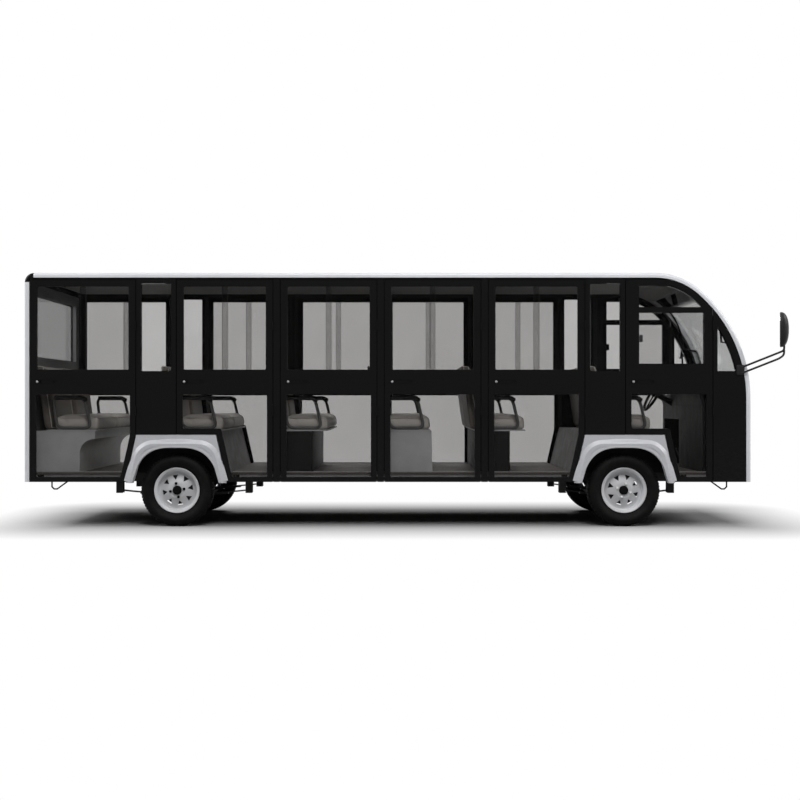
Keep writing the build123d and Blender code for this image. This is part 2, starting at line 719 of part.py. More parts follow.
LEAF_SHARES = (1.0, 0.68, 0.4)
LEAF_LAP = 0.5
springs = []
for axle_x, half in SPRINGS:
    drop = SPRING_EYE_Z - (SPRING_TOP_Z - SPRING_T / 2)
    sag_r = (half * half + drop * drop) / (2 * drop)
    spring = None
    for count, share in enumerate(LEAF_SHARES):
        face = leaf_face(axle_x, half * share, SPRING_TOP_Z - count * SPRING_T, sag_r, SPRING_T + LEAF_LAP)
        leaf = slab(face, FRAME_Y - SPRING_W / 2, FRAME_Y + SPRING_W / 2)
        spring = leaf if spring is None else spring + leaf
    for x in (axle_x - half, axle_x + half):
        y0, y1 = -FRAME_Y - SPRING_W / 2, -FRAME_Y + SPRING_W / 2
        spring = spring + pin_y(x, y0, y1, SPRING_EYE_Z, SPRING_EYE_R)
    for x in (axle_x - half, axle_x + half):
        y0, y1 = -FRAME_Y - SPRING_W / 2 - OVERCUT, -FRAME_Y + SPRING_W / 2 + OVERCUT
        spring = spring - pin_y(x, y0, y1, SPRING_EYE_Z, SPRING_PIN_R + FIT)
    springs.extend([spring, left(spring)])
write("leaf_springs", *springs)

# Axles
BEAM_HALF = 25.0
BEAM_H = 60.0
NECK_HALF = 13.0
BOSS_R = 20.0
BOSS_H = 60.0
PAD_HALF = 40.0
BEAM_IN = 60.0
NECK_LAP = 10.0
NECK_H = 44.0
KINGPIN_OVER = 22.0
HUB_OUT = 40.0
HUB_CAP_R = 36.0
HUB_CAP_T = 12.0
HUB_CAP_GAP = 1.0
pad_low = SPRING_TOP_Z + FIT
hub_face = WHEEL_Y + HUB_OUT
beam_end = KINGPIN_Y - BEAM_IN


def spring_pad(x, side, top):
    y0, y1 = sorted((side * (FRAME_Y - SPRING_W / 2), side * (FRAME_Y + SPRING_W / 2)))
    return box(x - PAD_HALF, x + PAD_HALF, y0, y1, pad_low, top)


beam_low, beam_top = TYRE_R - BEAM_H / 2, TYRE_R + BEAM_H / 2
axle = box(FRONT_AXLE_X - BEAM_HALF, FRONT_AXLE_X + BEAM_HALF, -beam_end, beam_end, beam_low, beam_top)
for side in (-1, 1):
    y0, y1 = sorted((side * (beam_end - NECK_LAP), side * KINGPIN_Y))
    z0, z1 = TYRE_R - NECK_H / 2, TYRE_R + NECK_H / 2
    neck = box(FRONT_AXLE_X - NECK_HALF, FRONT_AXLE_X + NECK_HALF, y0, y1, z0, z1)
    y = side * KINGPIN_Y
    z0, z1 = TYRE_R - BOSS_H / 2, TYRE_R + BOSS_H / 2
    boss = pin_z(FRONT_AXLE_X, y, z0, z1, BOSS_R)
    king = pin_z(FRONT_AXLE_X, y, z0 - KINGPIN_OVER, z1 + KINGPIN_OVER, KINGPIN_R)
    axle = axle + neck + boss + king + spring_pad(FRONT_AXLE_X, side, TYRE_R)
write("front_axle", axle)

TUBE_R = 38.0
HOUSING_R = 115.0
MOTOR_R = 95.0
MOTOR_LEN = 250.0
HOUSING_HALF = 80.0
BACKPLATE_R = 118.0
BACKPLATE_INSET = 44.0
BACKPLATE_T = 40.0
backplate_in = WHEEL_Y - BACKPLATE_INSET


def wheel_seat(x, side):
    """Brake drum, spindle and outer cap that carry one wheel."""
    cap_end = hub_face + HUB_CAP_T
    drum = pin_y(x, side * backplate_in, side * (backplate_in + BACKPLATE_T), TYRE_R, BACKPLATE_R)
    spindle = pin_y(x, side * backplate_in, side * cap_end, TYRE_R, SPINDLE_R)
    cap = pin_y(x, side * (hub_face + HUB_CAP_GAP), side * cap_end, TYRE_R, HUB_CAP_R)
    return drum + spindle + cap


rear_axle = pin_y(REAR_AXLE_X, -backplate_in, backplate_in, TYRE_R, TUBE_R)
rear_axle = rear_axle + pin_y(REAR_AXLE_X, -HOUSING_HALF, HOUSING_HALF, TYRE_R, HOUSING_R)
motor = Pos(REAR_AXLE_X - MOTOR_LEN / 2, 0, TYRE_R) * Rot(0, 90, 0) * Cylinder(MOTOR_R, MOTOR_LEN)
rear_axle = rear_axle + motor
for side in (-1, 1):
    rear_axle = rear_axle + spring_pad(REAR_AXLE_X, side, TYRE_R) + wheel_seat(REAR_AXLE_X, side)
write("rear_axle", rear_axle)

# Steering knuckles and the tie rod behind the axle
PLATE_T = 20.0
PLATE_GAP = 1.0
TIE_PIN_R = 6.0
TIE_R = 10.0
EYE_R = 15.0
EYE_H = 18.0
WEB_IN = 26.0
WEB_T = 20.0
WEB_HALF = 60.0
ARM_T = 14.0
ARM_ROOT = 44.0
ARM_IN = 6.0
TIE_PIN_OVER = 4.0


def knuckle(side):
    """Steering knuckle with its two kingpin plates, steering arm and wheel seat."""
    x, y = FRONT_AXLE_X, side * KINGPIN_Y
    web_in, web_out = KINGPIN_Y + WEB_IN, KINGPIN_Y + WEB_IN + WEB_T
    half = BOSS_H / 2 + PLATE_GAP
    y0, y1 = sorted((side * web_in, side * web_out))
    body = box(x - WEB_HALF, x + WEB_HALF, y0, y1, TYRE_R - half - PLATE_T, TYRE_R + half + PLATE_T)
    y0, y1 = sorted((y, side * web_out))
    for z0 in (TYRE_R - half - PLATE_T, TYRE_R + half):
        z1 = z0 + PLATE_T
        body = body + box(x - BOSS_R, x + BOSS_R, y0, y1, z0, z1) + pin_z(x, y, z0, z1, BOSS_R)
        body = body - pin_z(x, y, z0 - OVERCUT, z1 + OVERCUT, KINGPIN_R + RUN_FIT)
    top = TIE_Z - EYE_H / 2 - PLATE_GAP
    y0, y1 = sorted((side * (KINGPIN_Y - ARM_IN), side * web_out))
    body = body + box(x - ARM_LEN, x - ARM_ROOT, y0, y1, top - ARM_T, top)
    body = body + pin_z(x - ARM_LEN, y, top - ARM_T, top, EYE_R)
    body = body + pin_z(x - ARM_LEN, y, top - ARM_T, TIE_Z + EYE_H / 2 + TIE_PIN_OVER, TIE_PIN_R)
    return body + wheel_seat(x, side)


write("knuckle_right", knuckle(-1))
write("knuckle_left", knuckle(1))
tie_x = FRONT_AXLE_X - ARM_LEN
tie = pin_y(tie_x, -KINGPIN_Y, KINGPIN_Y, TIE_Z, TIE_R)
for side in (-1, 1):
    tie = tie + pin_z(tie_x, side * KINGPIN_Y, TIE_Z - EYE_H / 2, TIE_Z + EYE_H / 2, EYE_R)
for side in (-1, 1):
    z0, z1 = TIE_Z - EYE_H, TIE_Z + EYE_H
    tie = tie - pin_z(tie_x, side * KINGPIN_Y, z0, z1, TIE_PIN_R + RUN_FIT)
write("tie_rod", tie)


# Wheels, turned about Y: profiles run from the centre plane outward
def turned(points, x, side):
    face = make_face(Polyline(*[(r, 0, side * out) for r, out in points], close=True))
    ring = revolve(Plane.XY * face, Axis.Z, 360)
    return Pos(x, side * WHEEL_Y, TYRE_R) * Rot(-90, 0, 0) * ring


Ring = namedtuple("Ring", "radius out")
BEAD_HALF = 50.0
BEAD_BULGE = 5.0
SHOULDER_DROP = 20.0
SHOULDER_IN = 10.0
TREAD_IN = 35.0
tyre_side = (
    Ring(RIM_SEAT_R + FIT, BEAD_HALF - FIT),
    Ring(RIM_FLANGE_R + BEAD_BULGE, BEAD_HALF + BEAD_BULGE),
    Ring((RIM_FLANGE_R + TYRE_R) / 2, TYRE_W / 2),
    Ring(TYRE_R - SHOULDER_DROP, TYRE_W / 2 - SHOULDER_IN),
    Ring(TYRE_R, TYRE_W / 2 - TREAD_IN),
)
TYRE_PROFILE = [Ring(ring.radius, -ring.out) for ring in tyre_side] + list(reversed(tyre_side))
RIM_T = 8.0
FLANGE_OUT = 12.0
DISC_T = 10.0
SEAT_FACE_R = 66.0
SLOPE_R = 84.0
SLOPE_DROP = 10.0
WELL_R = 138.0
WELL_DROP = 34.0
rim_in = RIM_SEAT_R - RIM_T
well_out = HUB_OUT - WELL_DROP
slope_out = HUB_OUT - SLOPE_DROP
flange_out = BEAD_HALF + FLANGE_OUT
RIM_PROFILE = (
    Ring(SPINDLE_R + RUN_FIT, HUB_OUT - DISC_T),
    Ring(SPINDLE_R + RUN_FIT, HUB_OUT),
    Ring(SEAT_FACE_R, HUB_OUT),
    Ring(SLOPE_R, slope_out),
    Ring(WELL_R, well_out),
    Ring(rim_in, well_out),
    Ring(rim_in, BEAD_HALF),
    Ring(RIM_FLANGE_R - RIM_T, flange_out),
    Ring(RIM_FLANGE_R, flange_out),
    Ring(RIM_FLANGE_R, flange_out - RIM_T),
    Ring(RIM_SEAT_R, BEAD_HALF + FIT),
    Ring(RIM_SEAT_R, -BEAD_HALF - FIT),
    Ring(RIM_FLANGE_R, -flange_out + RIM_T),
    Ring(RIM_FLANGE_R, -flange_out),
    Ring(RIM_FLANGE_R - RIM_T, -flange_out),
    Ring(rim_in, -BEAD_HALF),
    Ring(rim_in, well_out - DISC_T),
    Ring(WELL_R, well_out - DISC_T),
    Ring(SLOPE_R, slope_out - DISC_T),
)
RIM_HOLES = 8
RIM_HOLE_R = 109.0
RIM_HOLE = 22.0
LUGS = 4
LUG_R = 57.0
LUG_NUT_R = 11.0
LUG_NUT_H = 10.0
LUG_SINK = 2.0


def rim(x, side):
    """Steel wheel with eight three-cornered holes, points toward the hub, and four lug nuts."""
    body = turned(RIM_PROFILE, x, side)
    centre = Pos(x, side * WHEEL_Y, TYRE_R)
    hole = extrude(RegularPolygon(RIM_HOLE, 3, rotation=-90), TYRE_W, both=True)
    hole = Pos(0, 0, RIM_HOLE_R) * Rot(90, 0, 0) * hole
    for count in range(RIM_HOLES):
        body = body - centre * Rot(0, 360 / RIM_HOLES * (count + 0.5), 0) * hole
    for count in range(LUGS):
        turn = math.radians(360 / LUGS * count)
        lug_x, lug_z = x + LUG_R * math.sin(turn), TYRE_R + LUG_R * math.cos(turn)
        facing = Plane(origin=(lug_x, side * (hub_face - LUG_SINK), lug_z), z_dir=(0, side, 0))
        body = body + facing * extrude(RegularPolygon(LUG_NUT_R, 6), LUG_NUT_H)
    return body


for place, x, side in (
    ("front_right", FRONT_AXLE_X, -1),
    ("front_left", FRONT_AXLE_X, 1),
    ("rear_right", REAR_AXLE_X, -1),
    ("rear_left", REAR_AXLE_X, 1),
):
    write(f"tyre_{place}", turned(TYRE_PROFILE, x, side))
    write(f"rim_{place}", rim(x, side))

# Seats
Row = namedtuple("Row", "front base")
ROWS = (
    Row(rear_in + REAR_ROW_AHEAD, "cove"),
    Row(REAR_AXLE_X + SECOND_ROW_AHEAD, "wheel box"),
    Row(seams["third"].rear + THIRD_ROW_AHEAD, "pedestal"),
    Row(seams["fourth"].rear + FOURTH_ROW_AHEAD, "battery"),
    Row(seams["fifth"].rear + FIFTH_ROW_AHEAD, "pedestal"),
    Row(FRONT_AXLE_X + DRIVER_ROW_AHEAD, "wheel box"),
)
plate_top = SEAT_TOP - CUSHION_T
seat_half = HALF_W - SEAT_SIDE
arm_y = HALF_W - ARM_SIDE
base_half = HALF_W - BASE_SIDE


def seat_base(kind, rear, front):
    """Box that carries one bench plate, from the floor up; rows over a wheel box have none."""
    if kind == "cove":
        cove_front = front - COVE_BACK
        turn = math.sqrt(0.5)
        low = COVE_TOP - COVE_R
        edges = [
            Line((rear_in, FLOOR_TOP), (rear_in, BOX_TOP)),
            Line((rear_in, BOX_TOP), (cove_front, BOX_TOP)),
            Line((cove_front, BOX_TOP), (cove_front, COVE_TOP)),
            ThreePointArc(
                (cove_front, COVE_TOP),
                (cove_front - COVE_R * turn, low + COVE_R * turn),
                (cove_front - COVE_R, low),
            ),
            Line((cove_front - COVE_R, low), (cove_front - COVE_R, FLOOR_TOP)),
            Line((cove_front - COVE_R, FLOOR_TOP), (rear_in, FLOOR_TOP)),
        ]
        return across(make_face(Wire(edges)), base_half)
    low_front = front - PEDESTAL_BACK
    top_front = low_front
    if kind == "battery":
        low_front = front + BATTERY_FLARE
        top_front = front + BATTERY_TOP
    face = polygon(
        (rear - BASE_REAR, FLOOR_TOP),
        (low_front, FLOOR_TOP),
        (top_front, BOX_TOP),
        (rear - BASE_REAR, BOX_TOP),
    )
    return across(face, base_half)


def armrest(rear, front, y):
    """Closed tube loop with bent corners beside the cushion, and the padded bar on top of it."""
    low = plate_top + ARM_R + FIT
    corners = [
        Vector(rear + ARM_REAR_LOW, y, low),
        Vector(rear + ARM_REAR_TOP, y, ARM_TOP),
        Vector(front - ARM_FRONT_TOP, y, ARM_TOP),
        Vector(front - ARM_FRONT_LOW, y, low),
    ]
    points = []
    for before, corner, after in zip(corners[-1:] + corners[:-1], corners, corners[1:] + corners[:1]):
        points.append(corner + (before - corner).normalized() * ARM_BEND)
        points.append(corner + (after - corner).normalized() * ARM_BEND)
    path = Polyline(*points, close=True)
    section = Plane(origin=points[0], z_dir=points[1] - points[0]) * Circle(ARM_R)
    loop = sweep(section, path=path, transition=Transition.RIGHT)
    return loop + bar(points[3], points[4], ARM_PAD_R)


bases = []
armrests = []
cushions = []
backs = []
shift = math.tan(math.radians(BACK_LEAN)) * (BACK_TOP - plate_top)
for front, kind in ROWS:
    rear = front - SEAT_DEPTH
    plate_half = arm_y + ARM_R
    base = box(rear - PLATE_REAR, front - PLATE_FRONT, -plate_half, plate_half, BOX_TOP, plate_top)
    if kind != "wheel box":
        base = base + seat_base(kind, rear, front)
    bases.append(base)
    for side in (-1, 1):
        armrests.append(armrest(rear, front, side * arm_y))
        y0, y1 = sorted((side * SEAT_GAP / 2, side * seat_half))
        cushion = box(rear, front, y0, y1, plate_top, SEAT_TOP)
        cushions.append(fillet(cushion.edges().group_by(Axis.Z)[-1], CUSHION_R))
        face = polygon(
            (rear - FIT, plate_top),
            (rear - FIT - shift, BACK_TOP),
            (rear - FIT - shift - BACK_T, BACK_TOP),
            (rear - FIT - BACK_T, plate_top),
        )
        back = extrude(Plane.XZ.offset(-y1) * face, amount=y1 - y0)
        top = back.edges().filter_by(Axis.Y).group_by(Axis.Z)[-1]
        backs.append(fillet(top, CUSHION_R))
write("seat_bases", *bases)
write("armrests", *armrests)
write("seat_cushions", *cushions)
write("seat_backs", *backs)

# Dashboard wall with the driver's foot opening, and the steering column
DASH_SETBACK = 390.0
DASH_LIP = 25.0
DASH_LIP_LOW = 997.0
DASH_TOP = 1094.0
DASH_NOSE_GAP = 55.0
DASH_NOSE_TOP = 1050.0
DASH_SIDE = 15.0
DASH_WALL = 20.0
DASH_HOLLOW_TOP = 950.0
FOOT_IN = 80.0
FOOT_OUT = 640.0
FOOT_TOP = 870.0
COLUMN_R = 26.0
COLUMN_NEAR = 40.0
COLUMN_FAR = 210.0
SHAFT_OVER = 5.0
HUB_R = 34.0
HUB_NEAR = 10.0
HUB_FAR = 34.0
SPOKE_W = 26.0
SPOKE_T = 10.0
SPOKES = 3
dash_rear = FRONT_X - DASH_SETBACK
dash_nose = front_x(DASH_NOSE_TOP) - DASH_NOSE_GAP
dash_half = WALL_IN - DASH_SIDE
dash_face = polygon(
    (dash_rear, FLOOR_TOP),
    (dash_rear, DASH_LIP_LOW),
    (dash_rear - DASH_LIP, DASH_TOP),
    (dash_nose, DASH_NOSE_TOP),
    (dash_nose, FLOOR_TOP),
)
hollow_half = dash_half - DASH_WALL
hollow_rear = dash_rear + DASH_WALL
dash = across(dash_face, dash_half)
dash = dash - box(
    hollow_rear, FRONT_X, -hollow_half, hollow_half, FLOOR_TOP - OVERCUT, DASH_HOLLOW_TOP
)
dash = dash - box(
    dash_rear - OVERCUT, hollow_rear + OVERCUT, FOOT_IN, FOOT_OUT, FLOOR_TOP - OVERCUT, FOOT_TOP
)
tilt = math.radians(STEER_TILT)
toward = Vector(-math.cos(tilt), 0, math.sin(tilt))
steer_at = Plane(origin=(FRONT_X - STEER_SETBACK, COLUMN_Y, STEER_Z), x_dir=(0, 1, 0), z_dir=toward)
column = bar((0, 0, -COLUMN_FAR), (0, 0, -COLUMN_NEAR), COLUMN_R)
shaft = bar((0, 0, -COLUMN_FAR), (0, 0, SHAFT_OVER), SHAFT_R)
write("dashboard", dash + steer_at * (column + shaft))
wheel = revolve(Plane.XZ * Pos(STEER_R, 0) * RegularPolygon(STEER_TUBE_R, 8), Axis.Z, 360)
wheel = wheel + bar((0, 0, -HUB_FAR), (0, 0, HUB_NEAR), HUB_R)
for count in range(SPOKES):
    spoke = Pos(STEER_R / 2, 0, 0) * Box(STEER_R, SPOKE_W, SPOKE_T)
    wheel = wheel + Rot(0, 0, 360 / SPOKES * count) * spoke
wheel = wheel - bar((0, 0, -HUB_FAR - OVERCUT), (0, 0, SHAFT_OVER + OVERCUT), SHAFT_R + RUN_FIT)
write("steering_wheel", steer_at * wheel)

# Door mirrors on their rods
MIRROR_ROD_R = 6.0
ROD_SINK = 40.0
ROD_BEND = 28.0
ROD_ELBOW_LOW = 1384.0
ROD_ELBOW_TOP = 1412.0
ROD_NECK_Z = 1442.0
ROOT_SETBACK = 75.0
ROOT_IN = 17.0
PAD_T = 12.0
PAD_REAR = 124.0
PAD_FRONT = 58.0
PAD_LOW = 1246.0
PAD_TOP = 1328.0
LEFT_SETBACK = 195.0
LEFT_PAD_LOW = 1200.0
LEFT_PAD_TOP = 1260.0
LEFT_ELBOW_Z = 1380.0
LEFT_LOW = 1440.0
LEFT_TOP = 1650.0
LEFT_CLEAR = 45.0
LEFT_DEPTH = 60.0


def mirror_head(x, low, top, y_in, depth, turn):
    """Right-hand mirror housing: flat glass side behind, domed in front, turned about the upright."""
    y, z = -(y_in + mirror_out) / 2, (low + top) / 2
    half_y, half_z = (mirror_out - y_in) / 2, (top - low) / 2
    ahead, aside = math.cos(turn), math.sin(turn)
    rings = []
    for section in MIRROR_SECTIONS:
        at = (x + section.share * depth * ahead, y - section.share * depth * aside, z)
        facing = Plane(origin=at, x_dir=(aside, ahead, 0), z_dir=(ahead, -aside, 0))
        rings.append(facing * Ellipse(half_y * section.part, half_z * section.part))
    return loft(rings, ruled=True)


rod_y = -(mirror_in + mirror_out) / 2
pad_y = -HALF_W - PAD_T / 2
glass_x = FRONT_X + MIRROR_AHEAD
rod_x = glass_x + MIRROR_DEPTH / 2
right_mirror = mirror_head(glass_x, MIRROR_LOW, MIRROR_TOP, mirror_in, MIRROR_DEPTH, mirror_turn)
right_mirror = right_mirror + box(
    FRONT_X - PAD_REAR, FRONT_X - PAD_FRONT, -HALF_W - PAD_T, -HALF_W, PAD_LOW, PAD_TOP
)
root_x = FRONT_X - ROOT_SETBACK
neck = (rod_x, rod_y, ROD_NECK_Z)
upper_rod = ((root_x, pad_y, PAD_TOP - ROOT_IN), neck, (rod_x, rod_y, MIRROR_LOW + ROD_SINK))
elbow = ((rod_x - ROD_BEND, rod_y, ROD_ELBOW_LOW), (rod_x, rod_y, ROD_ELBOW_TOP))
lower_rod = ((root_x, pad_y, PAD_LOW + ROOT_IN), *elbow, neck)
right_mirror = right_mirror + rod(upper_rod, MIRROR_ROD_R) + rod(lower_rod, MIRROR_ROD_R)
left_x = FRONT_X - LEFT_SETBACK
left_in = HALF_W + LEFT_CLEAR
left_mirror = mirror_head(left_x, LEFT_LOW, LEFT_TOP, left_in, LEFT_DEPTH, 0)
left_mirror = left_mirror + box(
    left_x, left_x + LEFT_DEPTH, -HALF_W - PAD_T, -HALF_W, LEFT_PAD_LOW, LEFT_PAD_TOP
)
left_y = -(left_in + mirror_out) / 2
rod_x = left_x + LEFT_DEPTH / 2
left_rod = (
    (rod_x, pad_y, LEFT_PAD_TOP - ROOT_IN),
    (rod_x, left_y, LEFT_ELBOW_Z),
    (rod_x, left_y, LEFT_LOW + ROD_SINK),
)
left_mirror = left_mirror + rod(left_rod, MIRROR_ROD_R)
write("mirrors", right_mirror, left(left_mirror))

# Wiper: pivot on the nose below the windscreen, arm and blade along the curve
WIPER_Y = -560.0
PIVOT_R = 14.0
PIVOT_OUT = 30.0
PIVOT_DROP = 33.0
WIPER_ARM_R = 7.0
WIPER_ARM_END = 360.0
WIPER_ARM_OFF = 34.0
BLADE_OFF = 12.0
BLADE_START = 120.0
BLADE_STEP = 100.0
BLADE_STEPS = 5
pivot_z = nose_cz - PIVOT_DROP
arm_end_z = pivot_z + WIPER_ARM_END
wiper = bar((FRONT_X, WIPER_Y, pivot_z), (FRONT_X + PIVOT_OUT, WIPER_Y, pivot_z), PIVOT_R)
arm_points = (
    (FRONT_X + PIVOT_OUT / 2, WIPER_Y, pivot_z),
    (front_x(arm_end_z - BLADE_STEP) + WIPER_ARM_OFF, WIPER_Y, arm_end_z - BLADE_STEP),
    (front_x(arm_end_z) + BLADE_OFF, WIPER_Y, arm_end_z),
)
blade_z = [pivot_z + BLADE_START + BLADE_STEP * count for count in range(BLADE_STEPS)]
blade_points = [(front_x(z) + BLADE_OFF, WIPER_Y, z) for z in blade_z]
write("wiper", wiper + rod(arm_points, WIPER_ARM_R) + rod(blade_points, WIPER_ARM_R))

# Tow loops under the skirt: an upright leg, a round bottom and a slanting leg
TOW_SIDE = 65.0
TOW_R = 6.0
TOW_LOW = 306.0
TOW_SETBACK = 211.0
TOW_FRONT_SETBACK = 185.0
TOW_BEND = 18.0
TOW_FLAT = 25.0
TOW_SLANT = 165.0
TOW_PAD_HALF = 15.0
TOW_PAD_T = 8.0
loops = []
for upright, ahead in ((REAR_X + TOW_SETBACK, 1), (FRONT_X - TOW_FRONT_SETBACK, -1)):
    foot = upright + ahead * (TOW_BEND + TOW_FLAT)
    slant_end = foot + ahead * TOW_SLANT
    for side in (-1, 1):
        y = side * (HALF_W - TOW_SIDE)
        path = (
            (upright, y, floor_low),
            (upright, y, TOW_LOW + TOW_BEND),
            (upright + ahead * TOW_BEND, y, TOW_LOW),
            (foot, y, TOW_LOW),
            (slant_end, y, floor_low),
        )
        loop = rod(path, TOW_R)
        for x in (upright, slant_end):
            pad = box(-TOW_PAD_HALF, TOW_PAD_HALF, -TOW_PAD_HALF, TOW_PAD_HALF, -TOW_PAD_T, 0)
            loop = loop + Pos(x, y, floor_low) * pad
        low_end, high_end = sorted((upright, slant_end))
        reach = box(
            low_end - TOW_PAD_HALF, high_end + TOW_PAD_HALF, y - TOW_PAD_HALF, y + TOW_PAD_HALF, 0, floor_low
        )
        loops.append(loop & reach)
write("tow_loops", *loops)
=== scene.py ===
"""Looks of an enclosed electric sightseeing car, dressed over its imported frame.

Metres throughout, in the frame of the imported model: +X is the front, +Y the left side, +Z up.
"""
import logging
import math
from dataclasses import dataclass
from enum import Enum
from functools import cached_property
from typing import Any, Callable, Dict, List, Optional, Sequence, Tuple

import bmesh
import bpy
import numpy as np
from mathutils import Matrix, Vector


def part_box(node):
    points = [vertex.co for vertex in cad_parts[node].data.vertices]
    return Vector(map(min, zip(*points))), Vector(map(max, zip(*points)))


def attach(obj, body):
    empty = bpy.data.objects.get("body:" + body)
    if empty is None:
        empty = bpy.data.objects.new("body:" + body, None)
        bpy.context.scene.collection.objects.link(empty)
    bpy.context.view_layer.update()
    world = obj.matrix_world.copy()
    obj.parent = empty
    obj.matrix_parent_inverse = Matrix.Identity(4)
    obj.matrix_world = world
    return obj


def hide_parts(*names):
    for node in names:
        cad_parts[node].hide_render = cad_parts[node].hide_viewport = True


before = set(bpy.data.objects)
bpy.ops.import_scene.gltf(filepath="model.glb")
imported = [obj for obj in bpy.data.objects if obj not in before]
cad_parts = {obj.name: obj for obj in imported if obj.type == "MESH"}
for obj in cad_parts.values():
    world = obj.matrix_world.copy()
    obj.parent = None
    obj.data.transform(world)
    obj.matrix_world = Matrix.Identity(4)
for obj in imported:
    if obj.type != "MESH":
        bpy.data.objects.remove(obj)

LOG = logging.getLogger("sightseeing_car")
ROOT = "vehicle_body"
DRAWING_SHIFT = 0.0141077
FRONT_AXLE, REAR_AXLE = 1.797, -1.884
AXLE_REACH = 1.84
TYRE_RADIUS = 0.297
SEAT_ROWS = (-2.540, -1.503, -0.634, 0.212, 0.998, 2.047)
CABIN_MIDDLE = (0.6, 0.0, 1.1)
CABIN_WEIGHTS = (0.45, 0.0, 1.0)
WHITE_LIGHT = (1.0, 1.0, 1.0, 1.0)
ACROSS = (0, 1, 0)
ORIGIN = (0.0, 0.0, 0.0)
Pair = Tuple[float, float]
Spot = Tuple[float, float, float]
Color = Tuple[float, float, float]
Point = Sequence[float]
Array = np.ndarray
Socket = bpy.types.NodeSocket


def drawn(x: Any) -> Any:
    """X, a number or an array of them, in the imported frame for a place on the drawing."""
    return x + DRAWING_SHIFT


def drawn_points(points: Any) -> Array:
    """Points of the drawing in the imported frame."""
    return np.asarray(points) + np.array([DRAWING_SHIFT, 0, 0])


class Side(Enum):
    """Side of the vehicle; the value is the sign of Y."""

    RIGHT = -1
    LEFT = 1

    @property
    def word(self) -> str:
        """Name of the side as the nodes spell it."""
        return self.name.lower()


class DoorPlace(Enum):
    """The six doors of one side, from the tail to the nose."""

    REAR = "rear"
    SECOND = "second"
    THIRD = "third"
    FOURTH = "fourth"
    FIFTH = "fifth"
    DRIVER = "driver"


class WheelPlace(Enum):
    """The four wheels."""

    FRONT_RIGHT = "front_right"
    FRONT_LEFT = "front_left"
    REAR_RIGHT = "rear_right"
    REAR_LEFT = "rear_left"

    @property
    def front(self) -> bool:
        """Whether the wheel is steered."""
        return self.name.startswith("FRONT")

    @property
    def side(self) -> Side:
        """Side that the wheel is on."""
        return Side[self.name.split("_")[1]]

    @property
    def axle_x(self) -> float:
        """X of the wheel's middle."""
        return drawn(FRONT_AXLE if self.front else REAR_AXLE)


